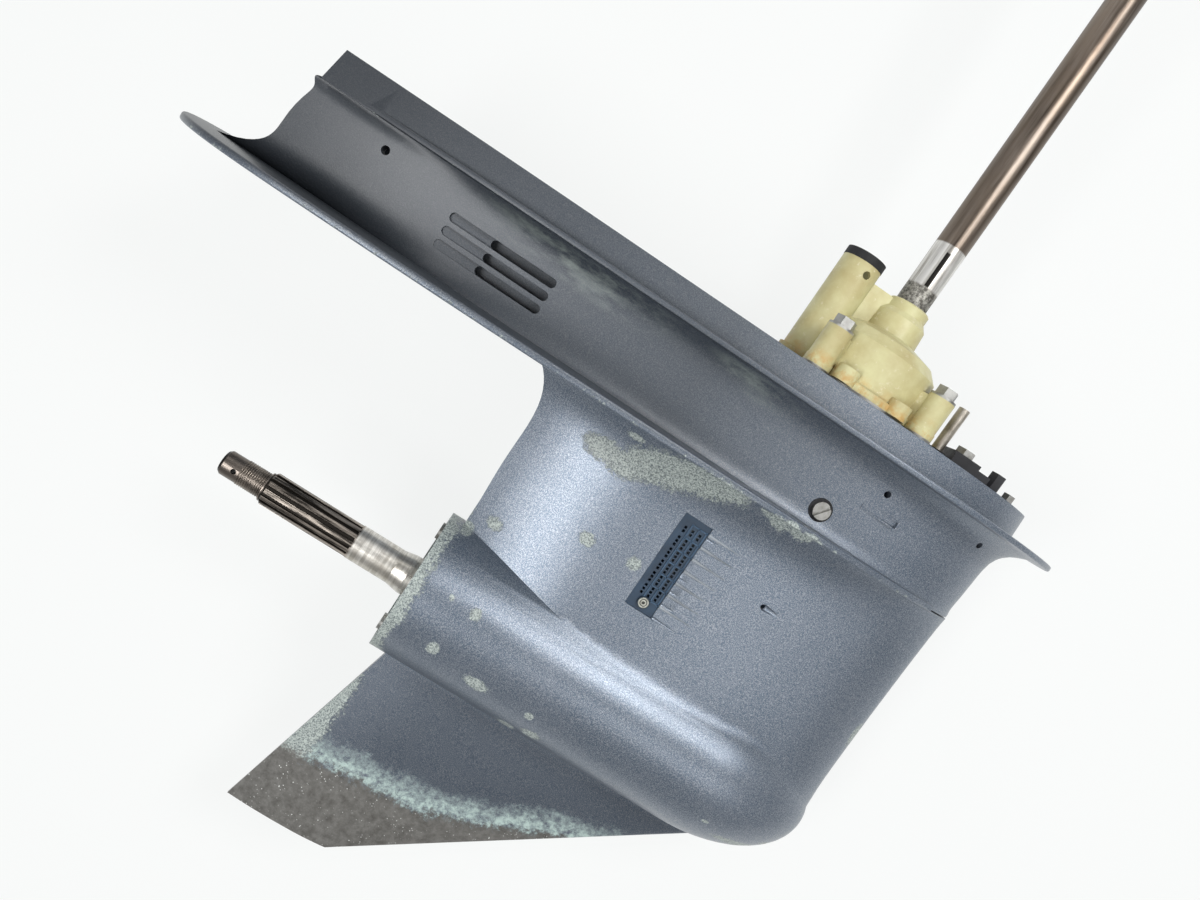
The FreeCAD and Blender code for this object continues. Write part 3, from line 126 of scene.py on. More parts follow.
# The table looks pale to the camera and in reflections, keeps a soft shadow, and is clear from behind.
def whiteBackground(material):
    tree = material.node_tree
    plain = tree.nodes["Principled BSDF"]
    plain.inputs["Base Color"].default_value = tableSizes["colour"]
    plain.inputs["Roughness"].default_value = tableSizes["rough"]
    plain.inputs["Specular IOR Level"].default_value = tableSizes["specular"]
    glow = tree.nodes.new("ShaderNodeEmission")
    glow.inputs["Color"].default_value = tableSizes["colour"]
    clear = tree.nodes.new("ShaderNodeBsdfTransparent")
    path = tree.nodes.new("ShaderNodeLightPath")
    side = tree.nodes.new("ShaderNodeNewGeometry")
    seen = eitherRay(tree, path, "Is Glossy Ray", "Is Transmission Ray")
    both = mixShaders(tree, tableSizes["shaded"], glow.outputs[0], plain.outputs[0])
    direct = mixShaders(tree, path.outputs["Is Camera Ray"], plain.outputs[0], both)
    bright = mixShaders(tree, seen, direct, glow.outputs[0])
    last = mixShaders(tree, side.outputs["Backfacing"], bright, clear.outputs[0])
    tree.links.new(last, tree.nodes["Material Output"].inputs["Surface"])


def addTable(right, up, back):
    middle = Vector(tableSizes["middle"]) - back * tableSizes["behind"]
    reach = tableSizes["reach"]
    turns = ((-reach, -reach), (reach, -reach), (reach, reach), (-reach, reach))
    mesh = bpy.data.meshes.new("table")
    mesh.from_pydata([middle + right * x + up * y for x, y in turns], [], [(0, 1, 2, 3)])
    table = bpy.data.objects.new("table", mesh)
    scene.collection.objects.link(table)
    material = bpy.data.materials.new("tableWhite")
    material.use_nodes = True
    whiteBackground(material)
    mesh.materials.append(material)


def addWorld(back):
    world = bpy.data.worlds.new("studio")
    scene.world = world
    world.use_nodes = True
    tree = world.node_tree
    tree.nodes.clear()
    output = tree.nodes.new("ShaderNodeOutputWorld")
    room = tree.nodes.new("ShaderNodeBackground")
    white = tree.nodes.new("ShaderNodeBackground")
    white.inputs["Strength"].default_value = 1.0
    path = tree.nodes.new("ShaderNodeLightPath")
    place = tree.nodes.new("ShaderNodeTexCoord")
    toward = tree.nodes.new("ShaderNodeVectorMath")
    toward.operation = "DOT_PRODUCT"
    toward.inputs[1].default_value = back
    dim = tree.nodes.new("ShaderNodeMapRange")
    dim.inputs["From Min"].default_value, dim.inputs["From Max"].default_value = roomSizes["facing"]
    dim.inputs["To Min"].default_value, dim.inputs["To Max"].default_value = roomSizes["strength"]
    tree.links.new(place.outputs["Generated"], toward.inputs[0])
    tree.links.new(toward.outputs["Value"], dim.inputs["Value"])
    tree.links.new(dim.outputs[0], room.inputs["Strength"])
    seen = eitherRay(tree, path, "Is Camera Ray", "Is Transmission Ray")
    tree.links.new(mixShaders(tree, seen, room.outputs[0], white.outputs[0]), output.inputs["Surface"])


right, up, back = addCamera()
addLamps(right, up, back)
addTable(right, up, back)
addWorld(back)
print("camera, lamps and table are set")


# A small wrapper that keeps the material trees readable.

class Tree:
    inputNames = {
        "colour": "Base Color", "metal": "Metallic", "rough": "Roughness", "normal": "Normal",
        "specular": "Specular IOR Level", "coat": "Coat Weight", "coatRough": "Coat Roughness",
    }

    def __init__(self, name):
        self.material = bpy.data.materials.new(name)
        self.material.use_nodes = True
        self.nodes = self.material.node_tree.nodes
        self.links = self.material.node_tree.links
        self.shader = self.nodes["Principled BSDF"]
        self.place = self.nodes.new("ShaderNodeTexCoord").outputs["Object"]

    def add(self, kind, **values):
        node = self.nodes.new(kind)
        for key, value in values.items():
            setattr(node, key, value)
        return node

    def feed(self, socket, value):
        if isinstance(value, bpy.types.NodeSocket):
            self.links.new(value, socket)
        else:
            socket.default_value = value

    def math(self, operation, first, second=0.0):
        node = self.add("ShaderNodeMath", operation=operation)
        self.feed(node.inputs[0], first)
        self.feed(node.inputs[1], second)
        return node.outputs[0]

    def plus(self, first, *others):
        for other in others:
            first = self.math("ADD", first, other)
        return first

    def times(self, first, *others):
        for other in others:
            first = self.math("MULTIPLY", first, other)
        return first

    def most(self, first, *others):
        for other in others:
            first = self.math("MAXIMUM", first, other)
        return first

    def minus(self, first, second):
        return self.math("SUBTRACT", first, second)

    def farFrom(self, value, middle):
        return self.math("ABSOLUTE", self.minus(value, middle))

    def radius(self, across, upward):
        return self.math("SQRT", self.plus(self.times(across, across), self.times(upward, upward)))

    def noise(self, scale, detail, rough, place=None):
        node = self.add("ShaderNodeTexNoise")
        self.feed(node.inputs["Vector"], place or self.place)
        node.inputs["Scale"].default_value = scale
        node.inputs["Detail"].default_value = detail
        node.inputs["Roughness"].default_value = rough
        return node.outputs["Fac"]

    def cells(self, scale):
        node = self.add("ShaderNodeTexVoronoi", feature="F1")
        self.feed(node.inputs["Vector"], self.place)
        node.inputs["Scale"].default_value = scale
        return node.outputs["Distance"]

    def span(self, value, low, high, lowOut=0.0, highOut=1.0, smooth=False):
        node = self.add("ShaderNodeMapRange", interpolation_type="SMOOTHSTEP" if smooth else "LINEAR")
        self.feed(node.inputs["Value"], value)
        node.inputs["From Min"].default_value = low
        node.inputs["From Max"].default_value = high
        node.inputs["To Min"].default_value = lowOut
        node.inputs["To Max"].default_value = highOut
        return node.outputs[0]

    def band(self, value, start, end):
        return self.times(self.span(value, *start), self.span(value, *end))

    def stretch(self, x, y, z):
        node = self.add("ShaderNodeVectorMath", operation="MULTIPLY")
        self.feed(node.inputs[0], self.place)
        node.inputs[1].default_value = (x, y, z)
        return node.outputs[0]

    def parts(self, place=None):
        node = self.add("ShaderNodeSeparateXYZ")
        self.feed(node.inputs[0], place or self.place)
        return node.outputs

    def blend(self, share, first, second):
        node = self.add("ShaderNodeMix", data_type="RGBA")
        self.feed(node.inputs["Factor"], share)
        self.feed(node.inputs[6], first)
        self.feed(node.inputs[7], second)
        return node.outputs[2]

    def bump(self, height, strength, distance):
        node = self.add("ShaderNodeBump")
        node.inputs["Strength"].default_value = strength
        node.inputs["Distance"].default_value = distance
        self.links.new(height, node.inputs["Height"])
        return node.outputs[0]

    def set(self, **values):
        for key, value in values.items():
            self.feed(self.shader.inputs[self.inputNames[key]], value)
        return self.material


# Blue-grey casting paint, with chips, stains and the bare skeg tip.
# A noise is given by its scale, detail and roughness, and a pair is where a change starts and ends.

noiseMean = 0.5
noiseEnds = (0.3, 0.7)  # most of a noise lies between these
paintLook = {
    "cloud": (9, 4.0, 0.55), "cloudEnds": (0.35, 0.65),
    "blue": ((0.064, 0.096, 0.142, 1), (0.090, 0.122, 0.170, 1)),
    "grain": (1500, 2.0, 0.8), "flakeEnds": (0.44, 0.66), "flakeShare": 0.62, "flake": (0.46, 0.475, 0.49, 1),
    # the upper wall's paint is duller, and its darker colour is painted shade
    "dullShadedWallUp": (-0.0930, -0.0880), "dullShadedWallBack": (0.10, -0.10),  # the dull upper wall
    "wallShadeShare": 0.74, "dullShadedWall": (0.022, 0.027, 0.034, 1),
    # painted shade, darker towards the upper wall's rear
    "rearWallShadeBack": (-0.16, -0.36), "rearWallShadeShare": 0.60, "rearWallShade": (0.010, 0.012, 0.015, 1),
    "skegDown": (-0.328, -0.340), "skegShare": 0.42, "skeg": (0.016, 0.024, 0.036, 1),
    "ragged": (340, 6.0, 0.8), "raggedShare": 1.1, "wide": (75, 4.0, 0.65), "wideShare": 0.7, "edgeMean": 0.9,
    "primerNoise": (850, 4.0, 0.8), "primerEnds": (0.40, 0.58),
    "primer": ((0.075, 0.095, 0.105, 1), (0.43, 0.48, 0.45, 1)),
    "metal": 0.54, "dullWallMetal": 0.45, "rough": (0.38, 0.78), "dullWallRough": 0.14, "cloudRough": 0.12,
    "specular": 0.45, "coat": 0.6, "coatRough": 0.38,
    "grainHeight": 0.35, "lossHeight": -1.2, "peel": (700, 3.0, 0.6), "peelHeight": 0.5,
    "bump": 0.5, "bumpDistance": 0.0004,
}

# Chips on the starboard side, in millimetres: x, height above the propeller shaft, half width, half height.
paintChips = [
    (-100, 98, 6.5, 5.5), (-64, 102, 5.5, 5.5), (-158, 68, 6.5, 5.0), (-172, 55, 5.5, 4.0),
    (-137, 19, 4.5, 4.5), (-149, -16, 5.0, 5.5), (-111, -23, 10.5, 5.0), (-68, -23, 3.4, 3.4),
    (-58, -38, 7.5, 4.5), (-75, -44, 7.0, 3.5), (-157, 20, 2.0, 2.0), (-126, 156, 15, 9),
    (-108, 155, 16, 10), (-96, 163, 18, 12), (-80, 170, 24, 13), (-60, 176, 24, 12), (-46, 180, 22, 9),
    (-10, 184, 8, 4), (0, 183, 9, 7), (16, 184, 10, 6), (-112, 176, 7, 2.5), (151, 78, 4.0, 10),
    (116, -31, 26, 4.0), (140, -22, 14, 3.0), (78, -22, 3.0, 1.6), (150, -14, 5, 3),
]
chipLook = {"fine": (620, 4.0, 0.85), "fineShare": 1.7, "edge": (0.95, 0.84), "starboard": (0.0, -0.002)}


def chipShare(t, x, y, z, ragged):
    near = None
    for middle, height, halfWide, halfHigh in paintChips:
        across = t.math("DIVIDE", t.minus(x, middle / 1000), halfWide / 1000)
        upward = t.math("DIVIDE", t.minus(z, height / 1000 - axisDrop), halfHigh / 1000)
        far = t.radius(across, upward)
        near = far if near is None else t.math("MINIMUM", near, far)
    fine = t.times(t.minus(t.noise(*chipLook["fine"]), noiseMean), chipLook["fineShare"])
    share = t.span(t.plus(near, ragged, fine), *chipLook["edge"])
    return t.times(share, t.span(y, *chipLook["starboard"]))


tipLook = {
    "slope": -0.10, "below": 0.128,  # the paint ends on this sloping line below the propeller shaft
    "bend": (-0.09, 0.03), "bendDrop": -0.028, "raggedness": 0.030,
    "bareEnds": (-0.010, -0.016), "borderEnds": (0.012, -0.006),
    "speckScale": 420, "speckEnds": (0.22, 0.10), "speckNoise": (130, 3.0, 0.7), "speckPlaces": (0.50, 0.62),
    "metalNoise": (150, 5.0, 0.75), "metalEnds": noiseEnds,
    "metal": ((0.055, 0.052, 0.046, 1), (0.155, 0.152, 0.142, 1)), "speck": (0.72, 0.74, 0.72, 1),
    "borderNoise": (180, 5.0, 0.7), "borderNoiseEnds": (0.35, 0.6), "border": (0.42, 0.53, 0.50, 1),
    "borderLoss": 0.8,
}


def skegTip(t, x, z, ragged):
    bend = t.times(t.span(x, *tipLook["bend"], smooth=True), tipLook["bendDrop"])
    slope = t.times(x, tipLook["slope"])
    drop = t.plus(z, slope, axisDrop + tipLook["below"], bend, t.times(ragged, tipLook["raggedness"]))
    bare = t.span(drop, *tipLook["bareEnds"])
    border = t.times(t.span(drop, *tipLook["borderEnds"]), t.span(bare, 1.0, 0.0))
    specks = t.times(t.span(t.cells(tipLook["speckScale"]), *tipLook["speckEnds"]),
                     t.span(t.noise(*tipLook["speckNoise"]), *tipLook["speckPlaces"]))
    metal = t.blend(t.span(t.noise(*tipLook["metalNoise"]), *tipLook["metalEnds"]), *tipLook["metal"])
    return bare, border, t.blend(specks, metal, tipLook["speck"])


stainLook = {
    "places": (  # middle along x, how it fades along x, how it rises
        (-0.200, (0.085, 0.02), (-0.047, -0.025)),
        (-0.070, (0.04, 0.01), (-0.042, -0.026)),
    ),
    "top": (-0.0235, -0.026), "noise": (60, 6.0, 0.7), "stretch": (0.5, 1, 1.6), "ends": (0.42, 0.68),
    "share": 0.7, "colour": (0.40, 0.46, 0.42, 1),
}


def wallStain(t, x, z):
    patches = [t.times(t.span(t.farFrom(x, middle), *fade), t.span(z, *rise))
               for middle, fade, rise in stainLook["places"]]
    cloud = t.span(t.noise(*stainLook["noise"], t.stretch(*stainLook["stretch"])), *stainLook["ends"])
    return t.times(t.most(*patches), t.span(z, *stainLook["top"]), cloud)


edgeLook = {
    "rearSpread": 0.026, "rearEnds": (-0.1765, -0.1785), "bulletTop": (-0.205, -0.208),
    "plates": (  # underside and top of the worn strip on each plate's rim, and how much stays painted
        (-0.0236, -0.0222, 0.40),
        (-0.0932, -0.0905, 0.44),
    ),
    "start": 0.0002, "fade": 0.0008, "rub": (110, 6.0, 0.8), "stretch": (1, 1, 0.5), "rubEnds": 0.05,
    "flat": (0.9, 0.7),  # faces that look up or down keep their paint
}


# Worn primer round the bullet's rear edge and along the two plates' rims.
def wornEdges(t, x, z, ragged):
    rear = t.span(t.plus(x, t.times(ragged, edgeLook["rearSpread"])), *edgeLook["rearEnds"])
    rear = t.times(rear, t.span(z, *edgeLook["bulletTop"]))
    rims = []
    for low, high, most in edgeLook["plates"]:
        strip = t.band(z, (low, low + edgeLook["start"]), (high, high - edgeLook["fade"]))
        rub = t.noise(*edgeLook["rub"], t.stretch(*edgeLook["stretch"]))
        rims.append(t.times(strip, t.span(rub, most, most - edgeLook["rubEnds"])))
    upright = t.math("ABSOLUTE", t.parts(t.add("ShaderNodeNewGeometry").outputs["True Normal"])[2])
    return t.most(rear, t.times(t.most(*rims), t.span(upright, *edgeLook["flat"])))


def paintMaterial():
    t = Tree("gearcasePaint")
    x, y, z = t.parts()
    grain = t.noise(*paintLook["grain"])
    cloud = t.noise(*paintLook["cloud"])
    ragged = t.plus(t.times(t.noise(*paintLook["ragged"]), paintLook["raggedShare"]),
                    t.times(t.noise(*paintLook["wide"]), paintLook["wideShare"]))
    ragged = t.minus(ragged, paintLook["edgeMean"])
    # the paint itself, with metal flake, a duller upper wall darkened with painted shade, more painted shade
    # at its rear and a darker skeg
    colour = t.blend(t.span(cloud, *paintLook["cloudEnds"]), *paintLook["blue"])
    flake = t.times(t.span(grain, *paintLook["flakeEnds"]), paintLook["flakeShare"])
    colour = t.blend(flake, colour, paintLook["flake"])
    # painted shade darkens the upper wall, whose metal and gloss also drop
    dullShadedWall = t.times(t.span(z, *paintLook["dullShadedWallUp"]), t.span(x, *paintLook["dullShadedWallBack"]))
    colour = t.blend(t.times(dullShadedWall, paintLook["wallShadeShare"]), colour, paintLook["dullShadedWall"])
    # more painted shade towards the upper wall's rear
    rearWallShade = t.times(dullShadedWall, t.span(x, *paintLook["rearWallShadeBack"]))
    colour = t.blend(t.times(rearWallShade, paintLook["rearWallShadeShare"]), colour, paintLook["rearWallShade"])
    skeg = t.span(z, *paintLook["skegDown"], 0.0, paintLook["skegShare"])
    colour = t.blend(skeg, colour, paintLook["skeg"])
    # what wear and water left on it
    dusty = t.span(t.noise(*paintLook["primerNoise"]), *paintLook["primerEnds"])
    primer = t.blend(dusty, *paintLook["primer"])
    bare, border, metal = skegTip(t, x, z, ragged)
    loss = t.most(chipShare(t, x, y, z, ragged), wornEdges(t, x, z, ragged))
    colour = t.blend(t.times(wallStain(t, x, z), stainLook["share"]), colour, stainLook["colour"])
    pale = t.span(t.noise(*tipLook["borderNoise"]), *tipLook["borderNoiseEnds"])
    colour = t.blend(t.times(border, pale), colour, tipLook["border"])
    colour = t.blend(loss, colour, primer)
    colour = t.blend(bare, colour, metal)
    # bare and worn places are dull and lie lower than the paint
    dull = t.most(loss, bare, t.times(border, tipLook["borderLoss"]))
    shine = t.times(t.span(dull, 0.0, 1.0, paintLook["metal"], 0.0),
                    t.span(dullShadedWall, 0.0, 1.0, 1.0, paintLook["dullWallMetal"]))
    rough = t.plus(t.span(dull, 0.0, 1.0, *paintLook["rough"]), t.times(dullShadedWall, paintLook["dullWallRough"]))
    rough = t.plus(rough, t.times(t.minus(cloud, noiseMean), paintLook["cloudRough"]))
    height = t.plus(t.times(grain, paintLook["grainHeight"]), t.times(dull, paintLook["lossHeight"]))
    height = t.plus(height, t.times(t.noise(*paintLook["peel"]), paintLook["peelHeight"]))
    return t.set(colour=colour, metal=shine, rough=rough, specular=paintLook["specular"],
                 coat=paintLook["coat"], coatRough=paintLook["coatRough"],
                 normal=t.bump(height, paintLook["bump"], paintLook["bumpDistance"]))


# Cream pump plastic, mottled, with amber stains at its foot.

pumpLook = {
    "mottle": (38, 4.0, 0.6), "mottleEnds": (0.35, 0.68),
    "cream": ((0.53, 0.51, 0.285, 1), (0.40, 0.345, 0.165, 1)),
    "spots": (210, 4.0, 0.7), "spotEnds": (0.60, 0.74), "spot": (0.58, 0.54, 0.36, 1),
    "amberHeight": (0.016, 0.004), "amberNoise": (120, 4.0, 0.7), "amberEnds": (0.45, 0.62),
    "amberShare": 0.75, "amber": (0.45, 0.24, 0.05, 1),
    "rough": (0.34, 0.52), "specular": 0.5,
    "ripple": (260, 3.0, 0.6), "spotHeight": 0.5, "bump": 0.25, "bumpDistance": 0.0005,
}


def pumpMaterial():
    t = Tree("pumpPlastic")
    z = t.parts()[2]
    mottle = t.noise(*pumpLook["mottle"])
    spots = t.noise(*pumpLook["spots"])
    cream = t.blend(t.span(mottle, *pumpLook["mottleEnds"]), *pumpLook["cream"])
    cream = t.blend(t.span(spots, *pumpLook["spotEnds"]), cream, pumpLook["spot"])
    amber = t.times(t.span(z, *pumpLook["amberHeight"]),
                    t.span(t.noise(*pumpLook["amberNoise"]), *pumpLook["amberEnds"]))
    cream = t.blend(t.times(amber, pumpLook["amberShare"]), cream, pumpLook["amber"])
    height = t.plus(t.noise(*pumpLook["ripple"]), t.times(spots, pumpLook["spotHeight"]))
    rough = t.span(mottle, *noiseEnds, *pumpLook["rough"])
    return t.set(colour=cream, rough=rough, specular=pumpLook["specular"],
                 normal=t.bump(height, pumpLook["bump"], pumpLook["bumpDistance"]))


# Plain steels and black soft pieces differ only in tone, gloss and the way their lines run.

steelLook = {
    "lines": (160, 4.0, 0.65), "lineEnds": (0.45, 0.7), "lineShare": 0.4,
    "stain": (45, 5.0, 0.7), "stainEnds": (0.38, 0.64),
    "metal": 0.9, "glossier": 0.08, "rougher": 0.14, "bump": 0.18, "bumpDistance": 0.0003,
}
rubberLook = {
    "fine": (320, 4.0, 0.65), "wash": (26, 4.0, 0.6), "washEnds": (0.35, 0.7),
    "paler": 1.9, "dust": 0.008, "specular": 0.28, "spread": 0.1, "bump": 0.2, "bumpDistance": 0.0003,
}


def steelMaterial(name, dark, pale, rough, streak=(1, 1, 1)):
    t = Tree(name)
    lines = t.noise(*steelLook["lines"], t.stretch(*streak))
    colour = t.blend(t.span(t.noise(*steelLook["stain"]), *steelLook["stainEnds"]), dark, pale)
    colour = t.blend(t.times(t.span(lines, *steelLook["lineEnds"]), steelLook["lineShare"]), colour, pale)
    rough = t.span(lines, *noiseEnds, rough - steelLook["glossier"], rough + steelLook["rougher"])
    return t.set(colour=colour, metal=steelLook["metal"], rough=rough,
                 normal=t.bump(lines, steelLook["bump"], steelLook["bumpDistance"]))


def rubberMaterial(name, colour, rough=0.62):
    t = Tree(name)
    fine = t.noise(*rubberLook["fine"])
    pale = tuple(min(1.0, rubberLook["paler"] * part + rubberLook["dust"]) for part in colour[:3]) + (1,)
    tone = t.blend(t.span(t.noise(*rubberLook["wash"]), *rubberLook["washEnds"]), colour, pale)
    rough = t.span(fine, *noiseEnds, rough - rubberLook["spread"], rough + rubberLook["spread"])
    return t.set(colour=tone, specular=rubberLook["specular"], rough=rough,
                 normal=t.bump(fine, rubberLook["bump"], rubberLook["bumpDistance"]))


# The drive shaft: brown above, a bright band with the key's slot drawn as painted shade, and a scuffed
# stretch under it.

driveLook = {
    "streak": (170, 5.0, 0.7), "streakRun": (1, 1, 0.05), "streakEnds": (0.34, 0.66),
    "brown": ((0.075, 0.055, 0.042, 1), (0.26, 0.22, 0.185, 1)),
    "cloud": (40, 5.0, 0.65), "cloudRun": (1, 1, 0.35), "cloudEnds": (0.45, 0.7),
    "rust": (0.19, 0.15, 0.115, 1),
    "bandFoot": (0.0885, 0.0895), "bandTop": (0.1225, 0.1215), "bandEnds": (0.42, 0.6),
    "bright": ((0.32, 0.30, 0.27, 1), (0.82, 0.81, 0.78, 1)),
    "scuffFoot": (0.070, 0.072), "scuffTop": (0.0905, 0.0885), "scuffNoise": (330, 4.0, 0.8),
    "scuffEnds": (0.4, 0.62), "scuff": ((0.09, 0.085, 0.075, 1), (0.42, 0.41, 0.37, 1)), "scuffRough": 0.2,
    # the key's slot is darkened with painted shade on the bright band
    "slotMiddle": -0.0024, "slotHalf": (0.0017, 0.0014), "slotFoot": (0.0890, 0.0900),
    "slotTop": (0.1170, 0.1160), "slotSide": (-0.002, -0.004), "slot": (0.020, 0.018, 0.016, 1),
    "metal": 0.9, "rough": (0.30, 0.48), "bump": 0.2, "bumpDistance": 0.0003,
}


def driveMaterial():
    t = Tree("driveShaftSteel")
    x, y, z = t.parts()
    streak = t.noise(*driveLook["streak"], t.stretch(*driveLook["streakRun"]))
    cloud = t.noise(*driveLook["cloud"], t.stretch(*driveLook["cloudRun"]))
    brown = t.blend(t.span(streak, *driveLook["streakEnds"]), *driveLook["brown"])
    brown = t.blend(t.span(cloud, *driveLook["cloudEnds"]), brown, driveLook["rust"])
    bright = t.blend(t.span(streak, *driveLook["bandEnds"]), *driveLook["bright"])
    # painted shade in the key's slot
    slot = t.times(t.span(t.farFrom(x, driveLook["slotMiddle"]), *driveLook["slotHalf"]),
                   t.band(z, driveLook["slotFoot"], driveLook["slotTop"]), t.span(y, *driveLook["slotSide"]))
    bright = t.blend(slot, bright, driveLook["slot"])
    scuff = t.band(z, driveLook["scuffFoot"], driveLook["scuffTop"])
    grey = t.blend(t.span(t.noise(*driveLook["scuffNoise"]), *driveLook["scuffEnds"]), *driveLook["scuff"])
    colour = t.blend(t.band(z, driveLook["bandFoot"], driveLook["bandTop"]), brown, bright)
    colour = t.blend(scuff, colour, grey)
    rough = t.span(streak, *noiseEnds, *driveLook["rough"])
    rough = t.plus(rough, t.times(scuff, driveLook["scuffRough"]))
    return t.set(colour=colour, metal=driveLook["metal"], rough=rough,
                 normal=t.bump(streak, driveLook["bump"], driveLook["bumpDistance"]))


# The propeller shaft: turned bright near the seal, dark splines with worn crests, and a dark thread.

propellerLook = {
    "lines": (240, 5.0, 0.7), "lineRun": (0.06, 1, 1),
    "around": (300, 4.0, 0.7), "aroundRun": (1.4, 0.1, 0.1),
    "brightEnds": (0.36, 0.64), "bright": ((0.46, 0.44, 0.40, 1), (0.80, 0.78, 0.73, 1)),
    "stain": (60, 4.0, 0.6), "stainEnds": (0.5, 0.7), "stainShare": 0.5, "stained": (0.40, 0.36, 0.29, 1),
    "crest": (0.0119, 0.0128), "crestEnds": (0.42, 0.60),
    "dark": ((0.030, 0.026, 0.022, 1), (0.50, 0.44, 0.38, 1)),
    "threadCrest": (0.0092, 0.0095), "thread": ((0.020, 0.018, 0.016, 1), (0.22, 0.19, 0.165, 1)),
    "threadStart": (-0.3055, -0.3060), "splineStart": (-0.2325, -0.2335),
    "metal": 0.88, "rough": (0.24, 0.42), "bump": 0.15, "bumpDistance": 0.0003,
}


def propellerShaftMaterial():
    t = Tree("propellerShaftSteel")
    x, y, z = t.parts()
    lines = t.noise(*propellerLook["lines"], t.stretch(*propellerLook["lineRun"]))
    around = t.noise(*propellerLook["around"], t.stretch(*propellerLook["aroundRun"]))
    bright = t.blend(t.span(around, *propellerLook["brightEnds"]), *propellerLook["bright"])
    stain = t.span(t.noise(*propellerLook["stain"]), *propellerLook["stainEnds"])
    bright = t.blend(t.times(stain, propellerLook["stainShare"]), bright, propellerLook["stained"])
    out = t.radius(y, t.plus(z, axisDrop))
    crest = t.times(t.span(out, *propellerLook["crest"]), t.span(lines, *propellerLook["crestEnds"]))
    dark = t.blend(crest, *propellerLook["dark"])
    thread = t.blend(t.span(out, *propellerLook["threadCrest"]), *propellerLook["thread"])
    dark = t.blend(t.span(x, *propellerLook["threadStart"]), dark, thread)
    colour = t.blend(t.span(x, *propellerLook["splineStart"]), bright, dark)
    rough = t.span(lines, *noiseEnds, *propellerLook["rough"])
    return t.set(colour=colour, metal=propellerLook["metal"], rough=rough,
                 normal=t.bump(lines, propellerLook["bump"], propellerLook["bumpDistance"]))


# The intake screens' dark blue plastic and the screw that holds them, with its rings and a recess darkened
# with painted shade.

screenLook = {
    "mottle": (90, 4.0, 0.6), "ends": (0.35, 0.65),
    "blue": ((0.010, 0.025, 0.047, 1), (0.022, 0.046, 0.080, 1)),
    "rough": (0.34, 0.5), "metal": 0.15, "bump": 0.2, "bumpDistance": 0.0004,
}
screwLook = {
    "x": -0.0435, "z": -0.1962, "ring": 0.0024, "ringHalf": (0.0004, 0.0002), "recess": (0.00125, 0.00105),
    "rim": (0.0036, 0.0038), "noise": (500, 4.0, 0.7), "ends": (0.35, 0.65),
    "worn": ((0.22, 0.22, 0.19, 1), (0.52, 0.53, 0.47, 1)),
    "dark": (0.045, 0.045, 0.042, 1), "washer": (0.030, 0.045, 0.060, 1),
    "metal": 0.7, "rough": 0.46, "scratches": (600, 3.0, 0.6), "bump": 0.2, "bumpDistance": 0.0003,
}


def screenMaterial():
    t = Tree("screenPlastic")
    mottle = t.noise(*screenLook["mottle"])
    colour = t.blend(t.span(mottle, *screenLook["ends"]), *screenLook["blue"])
    rough = t.span(mottle, *noiseEnds, *screenLook["rough"])
    return t.set(colour=colour, rough=rough, metal=screenLook["metal"],
                 normal=t.bump(mottle, screenLook["bump"], screenLook["bumpDistance"]))


def screwMaterial():
    t = Tree("screenScrewSteel")
    x, _, z = t.parts()
    out = t.radius(t.minus(x, screwLook["x"]), t.minus(z, screwLook["z"]))
    ring = t.span(t.farFrom(out, screwLook["ring"]), *screwLook["ringHalf"])
    # the recess in the middle is painted shade
    dark = t.most(ring, t.span(out, *screwLook["recess"]))
    worn = t.blend(t.span(t.noise(*screwLook["noise"]), *screwLook["ends"]), *screwLook["worn"])
    colour = t.blend(dark, worn, screwLook["dark"])
    colour = t.blend(t.span(out, *screwLook["rim"]), colour, screwLook["washer"])
    scratches = t.noise(*screwLook["scratches"])
    return t.set(colour=colour, metal=screwLook["metal"], rough=screwLook["rough"],
                 normal=t.bump(scratches, screwLook["bump"], screwLook["bumpDistance"]))


paint = paintMaterial()
screenPlastic = screenMaterial()
finishes = {  # by the record's material slots
    "gearcase_paint": paint,
    "carrier_metal": paint,
    "pump_plastic": pumpMaterial(),
    "black_rubber": rubberMaterial("blackRubber", (0.012, 0.012, 0.013, 1)),
    "black_plastic": rubberMaterial("blackPlastic", (0.016, 0.016, 0.018, 1), 0.45),
    "bright_steel": steelMaterial("zincSteel", (0.22, 0.215, 0.20, 1), (0.44, 0.44, 0.42, 1), 0.40),
    "gear_steel": steelMaterial("gearSteel", (0.20, 0.19, 0.18, 1), (0.46, 0.45, 0.43, 1), 0.34),
    "shaft_steel": steelMaterial("rodSteel", (0.20, 0.17, 0.13, 1), (0.52, 0.48, 0.42, 1), 0.36, (1, 1, 0.1)),
    "screen_plastic": screenPlastic,
}
ownFinishes = {  # nodes whose finish differs from their slot's
    "drive_shaft": driveMaterial(),
    "propeller_shaft": propellerShaftMaterial(),
    "screen_screw": screwMaterial(),
}
ribPlastic = rubberMaterial("screenRibPlastic", (0.026, 0.052, 0.088, 1), 0.45)
# pale grey fins: worn paint and a painted highlight
finWearAndHighlightPaint = rubberMaterial("finWearAndHighlight", (0.21, 0.23, 0.25, 1), 0.5)
threadSteel = steelMaterial("threadSteel", (0.060, 0.050, 0.042, 1), (0.30, 0.26, 0.22, 1), 0.34)
for row in frame["record"]["subparts"]:
    mesh = nodes[row["node"]].data
    mesh.materials.clear()
    mesh.materials.append(ownFinishes.get(row["node"], finishes[row["material_slot"]]))
print("materials are made")


# The casting is a copy of its node with the loose faces joined, so that it shades smoothly.

castingSizes = {"join": 0.000004, "sharp": 32}  # metres, degrees


